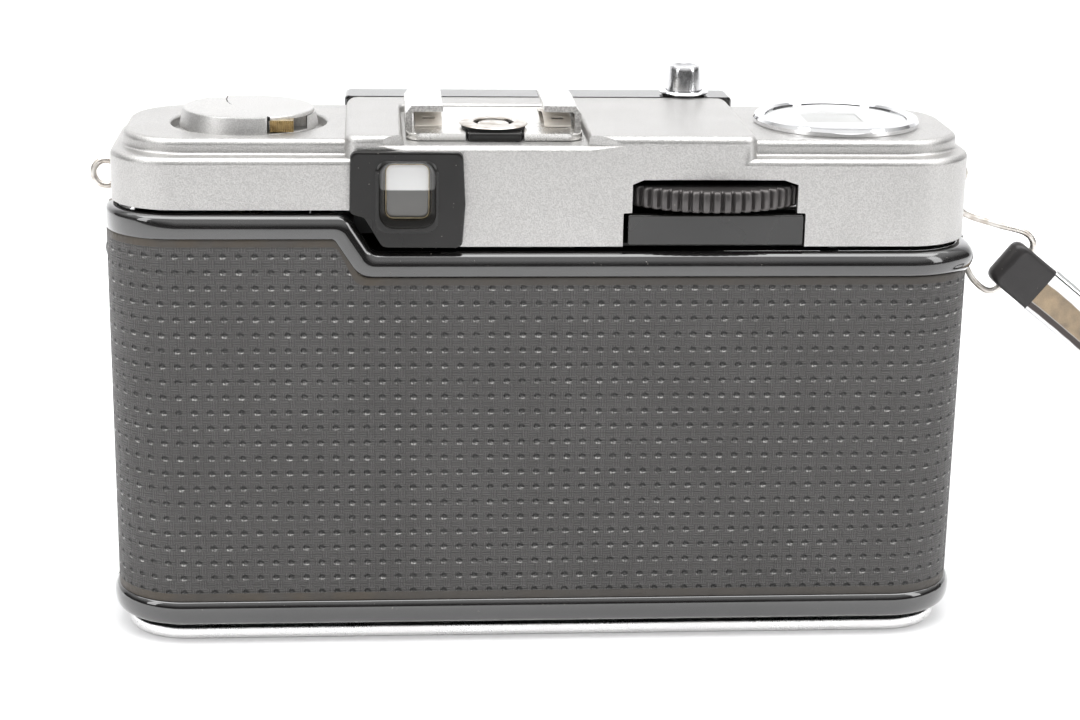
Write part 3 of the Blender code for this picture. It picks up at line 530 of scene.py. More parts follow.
def black(name, colour, roughness, ripple, depth, dust=0.0, **sockets):
    """Black paint or plastic: a slight ripple, uneven gloss and a few specks of dust."""
    made = Finish(name, colour, roughness, **sockets)
    soft = made.noise(ripple, 2.0)
    patch = made.noise(12.0, 3.0)
    made.roughness(made.math("ADD", made.remap(patch, 0.3, 0.7, -0.04, 0.05), roughness))
    made.bump(soft, depth)
    tone = made.mix(made.remap(patch, 0.35, 0.65, 0, 1), colour, tuple(c * 1.35 + 0.002 for c in colour))
    if dust:
        speck = made.patches(0.35, 1.0, 0.77, 0.80, 0, dust)
        tone = made.mix(speck, tone, (0.45, 0.42, 0.38))
    made.colour(tone)
    return made


def dark_wheel():
    """Black anodised alloy, greyer than the paint, with a few specks of dust."""
    made = black("black anodised", (0.075, 0.070, 0.069), 0.30, 0.4, 0.006, 0.3)
    made.shader.inputs["Metallic"].default_value = 0.6
    return made.material


def vinyl():
    made = black("black vinyl", (0.022, 0.020, 0.020), 0.34, 2.6, 0.22, 0.3)
    fine = made.noise(0.22, 2.0)
    made.bump(fine, 0.03)
    return made.material


PITCH_U, PITCH_V = 2.005, 2.069  # spacing of the leatherette's dimples along and up the body
DIMPLE_U, DIMPLE_V = 0.46, 0.34  # half sizes of one dimple
WEAVE = 0.33  # spacing of the fine lines between the dimples


def leatherette():
    """Dark grey leatherette: rows of D-shaped dimples, with painted shade in their upper parts and a painted highlight
    on their lower rims, on a fine basket weave, with a strip of old glue at its edge.
    """
    made = Finish("leatherette", (0.07, 0.068, 0.066), 0.5)
    place = made.add("ShaderNodeUVMap", uv_map="Wrap").outputs["UV"]
    axes = made.add("ShaderNodeSeparateXYZ", {"Vector": place})
    u = made.times(axes.outputs[0], 100.0)
    v = made.times(axes.outputs[1], 100.0)

    def cell(value, pitch):
        """Distance from the middle of its cell, in millimetres."""
        part = made.math("FRACT", made.math("DIVIDE", value, pitch))
        return made.times(made.math("SUBTRACT", part, 0.5), pitch)

    cu, cv = cell(u, PITCH_U), cell(v, PITCH_V)
    reach = made.hypotenuse(made.math("DIVIDE", cu, DIMPLE_U), made.math("DIVIDE", cv, DIMPLE_V))
    lower = made.times(made.math("SUBTRACT", made.times(cv, -1.0), 0.1), 4.5)
    pit = made.remap(made.math("MAXIMUM", reach, made.math("ADD", lower, 0.2)), 0.35, 1.1, 1, 0, True)

    tile_u = made.math("FLOOR", made.math("DIVIDE", u, PITCH_U / 2))
    tile_v = made.math("FLOOR", made.math("DIVIDE", made.math("ADD", v, PITCH_V / 4), PITCH_V / 2))
    turned_tile = made.math("MODULO", made.math("ABSOLUTE", made.math("ADD", tile_u, tile_v)), 2.0)
    line_u = made.math("SINE", made.times(u, 2 * pi / WEAVE))
    line_v = made.math("SINE", made.times(v, 2 * pi / WEAVE))
    lines = made.add("ShaderNodeMix", {0: turned_tile, 2: line_u, 3: line_v}, data_type="FLOAT").outputs[0]
    frame_u = made.remap(made.math("ABSOLUTE", cell(u, PITCH_U / 2)), 0.42, 0.51, 0, 1, True)
    frame_v = made.remap(made.math("ABSOLUTE", cell(v, PITCH_V / 2)), 0.43, 0.515, 0, 1, True)
    seams = made.math("MAXIMUM", made.times(frame_u, 0.45), frame_v)

    plain = made.remap(made.add("ShaderNodeAttribute", attribute_name="trim").outputs["Fac"], 0.30, 0.42, 0, 1)
    patterned = made.math("SUBTRACT", 1.0, plain)
    weave = made.math("SUBTRACT", made.times(lines, 0.5), seams)
    grain = made.noise(0.5, 4.0)
    relief = made.bump(grain, 0.09)
    relief = made.bump(made.times(weave, patterned), 0.07, under=relief)
    made.bump(made.times(pit, patterned), -0.5, under=relief)

    tone_mask = made.patches(14.0, 4.0, 0.35, 0.65)
    # hollow is painted shade for the dimples' upper parts; painted_rim_highlight is a painted highlight for their lower
    # rims.
    hollow, painted_rim_highlight = (0.012, 0.012, 0.012), (0.50, 0.49, 0.48)
    thread_gap, bare_edge, old_glue = (0.03, 0.029, 0.028), (0.048, 0.042, 0.036), (0.062, 0.050, 0.037)
    tone = made.mix(tone_mask, (0.072, 0.069, 0.067), (0.084, 0.081, 0.079))
    # Painted shade: the upper part of each dimple is darkened as if the light from above left it in shadow.
    shade = made.times(pit, made.remap(cv, -0.14, 0.04, 0, 1.0))
    tone = made.mix(made.times(shade, patterned), tone, hollow)
    # Painted highlight: a light crescent on the lower rim of each dimple, where the light from above would catch it.
    lit = made.times(
        made.remap(cv, -0.2, -0.13, 1, 0),
        made.remap(reach, 0.5, 0.8, 0, 1),
        made.remap(reach, 1.2, 1.5, 1, 0),
        made.remap(made.math("ABSOLUTE", cu), 0.24, 0.48, 1, 0),
        made.patches(1.6, 3.0, 0.38, 0.62, 0.05, 1.0),
        patterned,
    )
    tone = made.mix(lit, tone, painted_rim_highlight)
    tone = made.mix(made.times(seams, 0.6, patterned), tone, thread_gap)
    groove = made.times(made.remap(lines, -1.0, 0.2, 0.75, 0), patterned)
    tone = made.mix(groove, tone, thread_gap)
    glue = made.times(plain, made.patches(5.0, 5.0, 0.36, 0.62))
    side = made.add("ShaderNodeAttribute", attribute_name="glue").outputs["Fac"]
    tone = made.mix(made.times(plain, 0.85), tone, bare_edge)
    tone = made.mix(made.times(glue, side), tone, old_glue)
    made.colour(tone)
    made.roughness(made.patches(1.2, 3.0, 0.3, 0.7, 0.40, 0.56))
    return made.material


def clear_glass():
    made = Finish("clear glass", (0.96, 0.97, 0.97), 0.03, transmission_weight=1.0, ior=1.5)
    made.roughness(made.patches(3.0, 4.0, 0.4, 0.7, 0.02, 0.08))
    return made.material


def coated_glass():
    """A lens with a violet and amber coating over dark glass."""
    made = Finish("coated glass", (0.02, 0.02, 0.035), 0.04, coat_weight=1.0, coat_roughness=0.02, ior=1.8)
    ring = made.noise(7.0, 1.0)
    made.colour(made.mix(made.remap(ring, 0.4, 0.6, 0, 1), (0.030, 0.012, 0.045), (0.010, 0.020, 0.035)))
    made.shader.inputs["Coat Tint"].default_value = (0.72, 0.62, 0.95, 1)
    return made.material


def bubbled_glass():
    """The meter's window, moulded in small round lenses."""
    made = Finish("meter window", (0.80, 0.82, 0.80), 0.08, transmission_weight=0.75, ior=1.45)
    cells = made.add("ShaderNodeTexVoronoi", {"Vector": made.where, "Scale": 1 / (1.5 * MM), "Randomness": 0.25})
    made.bump(made.remap(cells.outputs["Distance"], 0.0, 0.6, 1, 0, True), 0.35)
    made.roughness(made.remap(cells.outputs["Distance"], 0.3, 0.7, 0.06, 0.2))
    return made.material


def painted_finder_view():
    """What the finder shows, painted on the glass as light: a bright upper half over a dimmer table, darker towards its
    horizon.
    """
    made = Finish("painted finder view", (0.9, 0.9, 0.9), 0.06, coat_weight=1.0)
    height = made.add("ShaderNodeSeparateXYZ", {"Vector": made.where}).outputs[2]
    horizon = FINDER.z * MM
    upper = made.remap(height, horizon - 0.00006, horizon + 0.00006, 0, 1)
    far = made.remap(height, horizon - 0.0032, horizon, 0, 1)
    table = made.mix(far, (0.125, 0.12, 0.108), (0.085, 0.082, 0.076))
    made.colour(made.mix(upper, table, (0.97, 0.97, 0.96)))
    return made.material


def dial_face():
    """White enamelled dial with a fine scale near its edge."""
    made = Finish("dial face", (0.82, 0.82, 0.79), 0.45)
    at = made.add("ShaderNodeMapping", {"Vector": made.where, "Location": (-COUNTER_X * MM, 0, 0)}).outputs[0]
    axes = made.add("ShaderNodeSeparateXYZ", {"Vector": at})
    angle = made.math("ARCTAN2", axes.outputs[1], axes.outputs[0])
    radius = made.hypotenuse(axes.outputs[0], axes.outputs[1])
    tick = made.math("ABSOLUTE", made.math("SINE", made.times(angle, 36.0)))
    on_ring = made.times(made.math("GREATER_THAN", radius, 0.0062), made.math("LESS_THAN", radius, 0.0076))
    mark = made.times(made.math("LESS_THAN", tick, 0.16), on_ring)
    made.colour(made.mix(mark, (0.80, 0.80, 0.77), (0.05, 0.05, 0.05)))
    made.bump(made.noise(0.3, 2.0), 0.004)
    return made.material


def white_paint():
    made = Finish("white paint", (0.84, 0.835, 0.82), 0.38)
    made.roughness(made.patches(2.0, 3.0, 0.3, 0.7, 0.3, 0.45))
    made.bump(made.noise(0.4, 2.0), 0.004)
    return made.material


def grey_window():
    made = Finish("counter opening", (0.52, 0.51, 0.49), 0.35)
    made.colour(made.mix(made.noise(2.5, 3.0), (0.46, 0.45, 0.43), (0.58, 0.57, 0.55)))
    return made.material


def thread():
    made = Finish("white thread", (0.55, 0.54, 0.50), 0.8)
    made.bump(made.noise(0.15, 2.0), 0.03)
    return made.material


FINDER = Vector((17.8, 13.5, 60.9))  # middle of the finder's eyepiece

SATIN = metal("satin silver", (0.535, 0.527, 0.516), 0.42, 0.17, 0.03, 0.05, 0.12).material
STEEL = metal("bright steel", (0.78, 0.77, 0.75), 0.26, 0.3, 0.004, 0.08, 0.04, 0.004).material
SHEARED = metal("sheared steel", (0.46, 0.45, 0.44), 0.5, 0.22, 0.06, 0.1, 0.25).material  # a press's torn edge
CHROME = metal("chrome", (0.86, 0.86, 0.87), 0.08, 0.8, 0.0006, 0.03, 0.01, 0.0008).material
NICKEL = nickel()
BRASS = brass()
ENAMEL = black("black enamel", (0.008, 0.0075, 0.0074), 0.08, 2.4, 0.006, 0.5, coat_weight=1.0, ior=1.75).material
PLASTIC = black("black plastic", (0.010, 0.0095, 0.009), 0.20, 0.5, 0.006, 0.4, ior=1.4).material
INTERIOR = black("matt black inside", (0.014, 0.014, 0.014), 0.62, 0.35, 0.02, 0.3).material
WHEEL_BLACK = dark_wheel()
VINYL = vinyl()
LEATHERETTE = leatherette()
CLEAR = clear_glass()
COATED = coated_glass()
BUBBLED = bubbled_glass()
SELENIUM = metal("selenium", (0.20, 0.19, 0.21), 0.32, 0.4, 0.01, 0.1, 0.3).material


# ---------------------------------------------------------------- shells round the body


def rolled(out, drop, step):
    """(sideways, down) pairs of a quarter ellipse that starts level."""
    angles = [radians(turn) for turn in range(0, 95, step)]
    return [(out * sin(a), drop * (1 - cos(a))) for a in angles]


# Section of a rolled rim: (distance out from the leather's face, depth below the edge)
RIM_LIP = [(-1.7, 0.9), (-1.7, 0.35), (-1.55, 0.1), (-1.3, 0.0)]
RIM_LIP += [(-1.0 + out, depth) for out, depth in rolled(1.42, 1.9, 10)]
RIM_LIP += [(0.39, 2.3), (0.28, 2.75), (0.12, 3.02), (0.0, 3.1), (-0.55, 3.1)]
# Section of the lower rim: (distance out from the leather's face, height above the table)
LOW_LIP = [(-0.55, 5.95)] + [(out, 5.95 - drop) for out, drop in rolled(0.62, 1.3, 15)]
LOW_LIP += [(0.6, 4.1), (0.5, 3.5), (0.33, 3.05), (0.1, 2.8), (-0.2, 2.72), (-1.3, 2.7), (-1.3, 2.15), (-1.7, 2.15)]


def stepped_edge(depth):
    """The back's upper edge between the two levels, (x, z) from the latch side, at a depth below its crest."""
    corners = [
        (30.0, STEP_HIGH - depth),
        (STEP_OUTER_X + STEP_LEAN * depth, STEP_HIGH - depth),
        (STEP_INNER_X + STEP_LEAN * depth, BODY_TOP - depth),
        (17.0, BODY_TOP - depth),
    ]
    return filleted(corners, (max(0.9, 2.4 - 0.5 * depth), 1.5 + 0.4 * depth), 10)


def smooth(t):
    t = min(1.0, max(0.0, t))
    return t * t * (3 - 2 * t)


def rim_bulge(s, hinge_end):
    """How much the rolled rim swells where it meets the hinge."""
    return exp(-(((s - hinge_end - 3.4) / 2.6) ** 2))


def knuckle(name, low, high, radius):
    """One barrel of the hinge round its pin."""
    half = [(0.55, low), (radius - 0.1, low), (radius, low + 0.15)]
    return turned(name, half + [(radius, high - 0.15), (radius - 0.1, high), (0.55, high)], HINGE, steps=48)


def door_shell():
    """The hinged back: a sheet wall with rolled rims above and below, and the step under the eyepiece."""
    latch_end, hinge_end = wrap_end(SEAM_Y + 0.15), -wrap_end(SEAM_Y + RELIEF_R)
    latch_side = wrap_columns(latch_end, [42.0, 36.0])
    hinge_side = [10.0, 0.0, -12.0, -24.0, -36.0] + hinge_columns(-hinge_end)
    straight = len(stepped_edge(0))
    sections = []
    for column in range(len(latch_side) + straight + len(hinge_side)):
        section = []
        step = column - len(latch_side)
        for out, depth in RIM_LIP:
            if 0 <= step < straight:
                s, z = stepped_edge(depth)[step]
            elif step < 0:
                s, z = latch_side[column], STEP_HIGH - depth
                out = out * (1 - 0.8 * smooth((s - 44.0) / 10.0)) if out > 0 else out
            else:
                s, z = hinge_side[step - straight], BODY_TOP - depth
                swell = rim_bulge(s, hinge_end)
                if out > -0.3:
                    out = out + swell * (0.2 + 0.35 * sin(pi * depth / 3.1))
                z = z - 0.45 * swell * (depth / 3.1) ** 2
            x, y = wrap_point(s, out)
            section.append((x, y, z))
        for out, z in LOW_LIP:
            section.append((*wrap_point(s, out), z))
        sections.append(section)
    shell = lofted("door_shell", sections)
    low, high = 20.15, 35.85
    barrel = knuckle("knuckle", low, high, 1.4)
    leaf = block("leaf", (HINGE[0] - 0.9, HINGE[0] + 0.7, HINGE[1] + 0.9, HINGE[1] + 3.2, 0.3, 3), low, high)
    finish(shell, ENAMEL, "film_door", "black_enamel", "back_door", crease=50)
    finish(together("door_knuckles", barrel, leaf), ENAMEL, "film_door", "black_enamel")


def front_shell():
    """The front half's enamelled rims and wall, behind the leather."""
    columns = wrap_columns(wrap_end(-SEAM_Y + 0.2), [36.0, 20.0, 8.0, 0.0, -8.0, -20.0, -36.0])
    columns += hinge_columns(wrap_end(-SEAM_Y + RELIEF_R + 0.2))
    sections = []
    for s in columns:
        section = [(*wrap_point(s, out, -1), BODY_TOP - depth) for out, depth in RIM_LIP]
        section += [(*wrap_point(s, out, -1), z) for out, z in LOW_LIP]
        sections.append(section)
    finish(lofted("front_shell", sections), ENAMEL, "camera_body", "cast_enamel", crease=50)


def leather_sheet(name, columns, edge, low, side, body, node, cutters=()):
    """A leather skin from its lower edge up to edge(column, depth) -> (s, z), with its plain strip and UVs."""
    rows = [(-0.45, 0.0), (-0.14, 0.02), (-0.02, 0.14), (0.0, 0.32), (0.0, 0.75), (0.0, 1.15)]
    foot = [(0.0, low + 0.3), (-0.04, low + 0.1), (-0.14, low), (-0.45, low)]
    bm = bmesh.new()
    uv = bm.loops.layers.uv.new("Wrap")
    trim = bm.verts.layers.float.new("trim")
    glue = bm.verts.layers.float.new("glue")
    grid, place = [], {}
    for column in columns:
        line = []
        for out, depth in rows:
            s, z = edge(column, depth)
            line.append((s, z, out, 1.0 if depth < 1.0 else 0.0))
        s_top, z_top = edge(column, rows[-1][1])
        for share in (0.25, 0.5, 0.75):
            line.append((s_top, z_top + (TRIM_HIGH - z_top) * share, 0.0, 0.0))
        line += [(s_top, TRIM_HIGH, 0.0, 0.0), (s_top, TRIM_LOW, 0.0, 1.0)]
        line += [(s_top, z, out, 1.0) for out, z in foot]
        made = []
        for s, z, out, plain in line:
            x, y = wrap_point(s, out, side)
            vert = bm.verts.new((x, y, z))
            vert[trim] = plain
            vert[glue] = 1.0 if side == 1 and x > 21 else 0.25
            place[vert] = (s / 100, z / 100)
            made.append(vert)
        grid.append(made)
    bridge(bm, grid)
    bm.faces.new(grid[0])
    bm.faces.new(grid[-1][::-1])
    for face in bm.faces:
        for loop in face.loops:
            loop[uv].uv = place[loop.vert]
    sheet = solid(name, bm)
    carve(sheet, *cutters)
    return finish(sheet, LEATHERETTE, body, "leatherette", node)


def door_skin():
    latch_side = wrap_columns(wrap_end(SEAM_Y + 1.0), [42.0, 36.0])
    hinge_side = [10.0, 0.0, -12.0, -24.0, -36.0]
    hinge_side += hinge_columns(wrap_end(SEAM_Y + RELIEF_R + 0.2))

    def step_line(depth):
        corners = [(30.0, LEATHER_STEP - depth), (26.2 + STEP_LEAN * depth, LEATHER_STEP - depth)]
        corners += [(23.7 + STEP_LEAN * depth, LEATHER_EDGE - depth), (17.0, LEATHER_EDGE - depth)]
        return filleted(corners, (1.3, 1.7), 8)

    count = len(step_line(0))

    def edge(column, depth):
        if column < len(latch_side):
            return latch_side[column], LEATHER_STEP - depth
        if column < len(latch_side) + count:
            return step_line(depth)[column - len(latch_side)]
        return hinge_side[column - len(latch_side) - count], LEATHER_EDGE - depth

    columns = range(len(latch_side) + count + len(hinge_side))
    leather_sheet("door_skin", columns, edge, LEATHER_LOW + 0.1, 1, "film_door", "door_leather")


def front_skin():
    columns = wrap_columns(wrap_end(-SEAM_Y + 1.0), [36.0, 24.0, 12.0, 0.0, -12.0, -24.0, -36.0])
    columns += hinge_columns(wrap_end(-SEAM_Y + RELIEF_R + 0.3))
    lens_hole = rod("lens_hole", (0, LENS_Z, 21.0, 96), -30, -10, "Y")
    latch_hole = block("latch_hole", (-6.1, 5.6, LENS_Z - 8.6, LENS_Z + 8.6, 1.0, 4), 50, 70, "X")

    def edge(s, depth):
        return s, LEATHER_EDGE - depth

    holes = (lens_hole, latch_hole)
    leather_sheet("front_skin", columns, edge, LEATHER_LOW + 0.1, -1, "camera_body", "front_leather", holes)


def casting():
    """The die-cast body: chambers for the cassette and the spool, the film gate with its rails, and the bearings."""
    core = HALF_W - 1.95
    cx, cy = HALF_W - CORNER, HALF_D - CORNER
    bend = core - cx
    turn = degrees(asin((GATE_Y - cy) / bend))
    side_y, skin = SEAM_Y - 0.15, 0.6
    w, d = HALF_W - skin, HALF_D - skin
    outline = [(w, side_y), (core, side_y)] + arc(cx, cy, bend, 0, turn, 8)
    outline += arc(-cx, cy, bend, 180 - turn, 180, 8) + [(-core, side_y), (-w, side_y)]
    outline += arc(-w + CORNER, -d + CORNER, CORNER, 180, 270, 16) + arc(w - CORNER, -d + CORNER, CORNER, 270, 360, 16)
    body = prism("casting", outline, BODY_LOW + 0.05, BODY_TOP - 0.05)
    roof = rounded_box(27.5, core - 1.6, -12.5, GATE_Y - 0.5, 7.0, 10)
    merge(body, prism("cassette_roof", roof, BODY_TOP - 2, STEP_HIGH - 0.4))
    carve(
        body,
        *(
            block(name, (x - CHAMBER_R, x + CHAMBER_R, -CHAMBER_R, 30, CHAMBER_R - 1, 20), 3.7, 51.2)
            for name, x in (("cassette_space", CASSETTE_X), ("take_up_space", SPOOL_X))
        ),
        rod("sprocket_well", (*SPROCKET, 5.6, 48), 7.5, 47.5),
        block("light_space", (-11, 11, LENS_Z - 15, LENS_Z + 15, 2), -12, GATE_Y - 2, "Y"),
        block("film_gate", (-9.2, 9.2, LENS_Z - 12.2, LENS_Z + 12.2, 0.8, 4), 5, 30, "Y"),
        rod("lens_seat", (0, LENS_Z, 12.2), -30, -8.6, "Y"),
    )
    bores = [
        ("rewind_bearing", (CASSETTE_X, 0), 3.2, 45, 70),
        ("wheel_bearing", WHEEL, 2.55, 50.0, 70),
        ("sprocket_bearing_high", SPROCKET, 1.55, 40, 50.5),
        ("sprocket_bearing_low", SPROCKET, 1.55, 4.0, 20),
        ("spool_bearing", (SPOOL_X, 0), 2.05, 2.9, 10),
        ("counter_bearing", (COUNTER_X, 0), 1.3, 45, 70),
        ("tripod_seat", TRIPOD, 5.7, -5, 8.6),
        ("release_seat", STUD, 2.6, -5, 7.6),
    ]
    carve(body, *(rod(name, (*at, r), low, high) for name, at, r, low, high in bores))
    carve(
        body,
        block("latch_slot", (-5.3, 5.3, LENS_Z - 7.8, LENS_Z + 7.8, 1.0, 4), HALF_W - 1.9, 70, "X"),
        rod("hinge_relief", (*HINGE, RELIEF_R), 20.0, 36.0),
    )
    for i, at in enumerate(SCREWS):
        carve(body, rod(f"screw_seat_{i}", (*at, 1.3, 32), -5, 7.5))
    finish(body, ENAMEL, "camera_body", "cast_enamel", "body_casting", crease=30)

    rails = []
    for i, z in enumerate((LENS_Z - 15.6, LENS_Z - 12.9, LENS_Z + 12.7, LENS_Z + 15.2)):
        rails.append(block(f"rail_{i}", (-11.5, 12.8, z, z + 0.5, 0.2, 3), GATE_Y - 0.3, GATE_Y + 0.1, "Y"))
    finish(together("film_rails", *rails), STEEL, "camera_body", "steel")
    knuckles = []
    for i, (low, high) in enumerate(((2.3, 19.85), (36.15, 52.9))):
        knuckles.append(knuckle(f"hinge_knuckle_{i}", low, high, 1.35))
    finish(together("hinge_knuckles", *knuckles), ENAMEL, "camera_body", "cast_enamel")


def base():
    """Bottom plate with its screws, the tripod socket and the rewind release button."""
    levels = [(0.0, -0.75), (0.06, -0.45), (0.2, -0.2), (0.45, -0.04), (0.7, 0.0)]
    levels += [(1.4, 0.0), (1.6, -0.08), (1.7, -0.25)]
    plate = pillow("base_plate", lambda offset: body_outline(-1.2 + offset), levels)
    carve(plate, rod("socket_hole", (*TRIPOD, 5.75), -5, 5), rod("button_hole", (*STUD, 2.35), -5, 5))
    for i, (x, y) in enumerate(SCREWS):
        sink = [(0, -1), (2.5, -1), (2.5, 0.3), (1.4, 1.3), (1.4, 4), (0, 4)]
        carve(plate, turned(f"screw_sink_{i}", sink, (x, y), steps=48))
        head = [(0, 0.12), (1.6, 0.12), (1.95, 0.2), (2.1, 0.35), (2.05, 0.5), (1.0, 1.4), (1.0, 7.0), (0, 7.0)]
        screw = turned(f"base_screw_{i}_visual", head, (x, y), steps=48)
        carve(screw, block(f"slot_{i}", (x - 3, x + 3, y - 0.28, y + 0.28, 0.05, 1), -1, 0.55))
        finish(screw, STEEL, "camera_body", "steel", f"base_screw_{i + 1}", crease=30)
    # A lighter copy of the satin silver for the bottom plate: painted light, brightened to make up for the shade it
    # sits in near the table.
    silver = metal("brightened plate silver", (0.95, 0.945, 0.94), 0.30, 0.17, 0.01, 0.05, 0.05).material
    finish(plate, silver, "camera_body", "satin_silver", "bottom_plate", crease=35)

    bore = []
    for k in range(6):
        z = 1.2 + k * 1.15
        bore += [(3.35, z), (3.05, z + 0.5), (3.05, z + 0.62), (3.35, z + 1.1)]
    socket = [(3.5, 0.1), (5.0, 0.1), (5.4, 0.35), (5.4, 8.2), (3.1, 8.2)] + bore[::-1] + [(3.35, 0.5)]
    finish(turned("screw_socket", socket, TRIPOD), STEEL, "camera_body", "steel", "tripod_socket", crease=30)
    button = [(0, 0.3), (1.3, 0.3), (1.75, 0.4), (2.0, 0.7), (2.0, 3.2), (1.2, 3.2), (1.2, 5.4), (0, 5.4)]
    made = turned("release_stud", button, STUD, steps=48)
    finish(made, STEEL, "rewind_release", "steel", "rewind_release_button")


# ---------------------------------------------------------------- top cover


plateau_shape = grown(-54.6, 54.2, -12.8, 12.8, 8.6, 14)


def hump_shape(offset):
    back = HALF_D - COVER_INSET
    return rounded_box(HUMP_RIGHT_X - offset, HUMP_LEFT_X + offset, HUMP_FRONT_Y, back + offset, 1.9 + offset, 14)


def stacked(name, levels):
    """A loft through (outline, level) pairs of the same number of points."""
    return lofted(name, [[(x, y, z) for x, y in outline] for outline, z in levels])


def flare(edge, radius, steps=5):
    """(level, offset) pairs that widen a cutter into a round edge below level edge."""
    angles = [pi / 2 * k / steps for k in range(steps + 1)]
    return [(edge - radius + radius * sin(a), radius * (1 - cos(a))) for a in angles]


def cover():
    """The satin cover: walls, rolled shoulder, ledge, raised ends and the hump, hollow, with its openings."""

    def shell(offset):
        return body_outline(-COVER_INSET + offset, 14)

    levels = [(shell(-0.2), COVER_LOW), (shell(-0.06), COVER_LOW + 0.06), (shell(0), COVER_LOW + 0.22)]
    levels += [(shell(inset), SHOULDER_TOP - 0.9 + rise) for rise, inset in quarter(0.9, 0, 90)]
    foot = 0.45
    for k in range(1, 6):
        a = pi / 2 * k / 5
        levels.append((plateau_shape(foot * (1 - sin(a))), SHOULDER_TOP + foot * (1 - cos(a))))
    top_round = 0.85
    levels += [(plateau_shape(inset), PLATEAU_TOP - top_round + rise) for rise, inset in quarter(top_round, 0, 90)]
    body = stacked("cover", levels)
    hump_round = 1.0
    hump_levels = [(hump_shape(0), 60.0)]
    hump_levels += [(hump_shape(inset), HUMP_TOP - hump_round + rise) for rise, inset in quarter(hump_round, 0, 90, 8)]
    merge(body, stacked("hump", hump_levels))

    low, back = HUMP_TOP - 1.25, HALF_D - COVER_INSET
    inner = prism("inside", body_outline(-COVER_INSET - SHEET), 50, SHOULDER_TOP - 1.0)
    carve(body, inner, prism("plateau_inside", plateau_shape(-1.0), 60, CEILING))
    carve(body, prism("hump_inside", hump_shape(-1.0), 60, CEILING + 0.3))
    carve(body, block("latch_side_edge", (13.5, 70, SEAM_Y + 0.1, 30, 0.5, 3), 50, COVER_LOW_LATCH))

    def recess(offset):
        return rounded_box(-5.2 - offset, 18.5 + offset, -8.2 - offset, 30, 1.3 + offset, 8)

    sides = [(recess(-0.35), low), (recess(-0.1), low + 0.12), (recess(0), low + 0.35)]
    sides += [(recess(offset), z) for z, offset in flare(HUMP_TOP, 0.55)] + [(recess(0.56), 80.0)]
    carve(body, stacked("shoe_recess", sides))
    stations = [(-9.5, 0.03), (-8.4, 0.2), (-7.4, 0.5), (-6.3, 0.82), (-5.0, 1.0)]
    stations += [(18.3, 1.0), (19.3, 0.82), (20.1, 0.5), (20.8, 0.2), (21.6, 0.03)]
    sections = []
    for x, r in stations:
        edge = [(back - 0.95 * r, 75.0), (back - 0.95 * r, low)]
        edge += [(back - 0.95 * r + r * sin(a), low - r + r * cos(a)) for a in (0.3, 0.6, 0.9, 1.2, 1.45)]
        sections.append([(x, y, z) for y, z in edge + [(back + 2.0, low - r), (back + 2.0, 75.0)]])
    carve(body, lofted("recess_lip", sections))

    pocket = [(0, PLATEAU_TOP - 1.3), (10.15, PLATEAU_TOP - 1.3)]
    pocket += [(10.15 + offset, z) for z, offset in flare(PLATEAU_TOP, 0.35)] + [(10.5, 80), (0, 80)]
    carve(body, turned("knob_recess", pocket, (CASSETTE_X, 0), steps=128))
    carve(
        body,
        rod("rewind_hole", (CASSETTE_X, 0, 3.2), 60, 80),
        rod("counter_hole", (COUNTER_X, 0, 9.8, 96), 60, 80),
        rod("button_well", (*BUTTON, 2.75), 61, 80),
        block("eyepiece_hole", (13.6, 21.8, 54.0, 65.0, 0.8), 10, 30, "Y"),
        block("sight_hole", (12.6, 23.0, 55.9, 65.0, 0.8), -30, -10, "Y"),
    )

    def wheel_window(offset):
        left, right, top = -32.0 - offset, -10.8 + offset, 61.8 + offset
        return [(left, 50), (left, top), (left + 1.8, top + 0.6), (right - 1.4, top + 0.6), (right, top), (right, 50)]

    def guard_window(offset):
        return rounded_box(-33.1 - offset, -9.7 + offset, 50, 58.1 + offset, 0.2 + offset, 4)

    for name, shape in (("wheel_window", wheel_window), ("guard_window", guard_window)):
        cut = [(10, 0), (back - 0.12, 0), (back - 0.03, 0.04), (back + 0.01, 0.12), (30, 0.12)]
        carve(body, pillow(name, shape, cut, "Y"))
    for side in (-1, 1):
        carve(body, rod(f"lug_hole_{side}", (LUG_Y, LUG_Z, 1.0, 32), side * 50, side * 60, "X"))
    finish(body, SATIN, "camera_body", "satin_silver", "top_cover", crease=32)


def bezel_outline(grow):
    """Front view of the eyepiece's bezel, which follows the step of the back."""
    g = grow
    points = [(25.0 + g, 66.2 + g), (25.15 + g, 58.3 - g * 0.4), (23.3 + g * 0.5, 57.75 - g)]
    points += [(21.0 + g * 0.6, 53.9 - g), (10.9 - g, 53.85 - g), (10.5 - g, 59.5), (10.85 - g, 66.15 + g)]
    return filleted(points[::-1], (0.8, 4.0, 0.9, 1.1, 0.9, 0.7, 0.9), 6, closed=True)


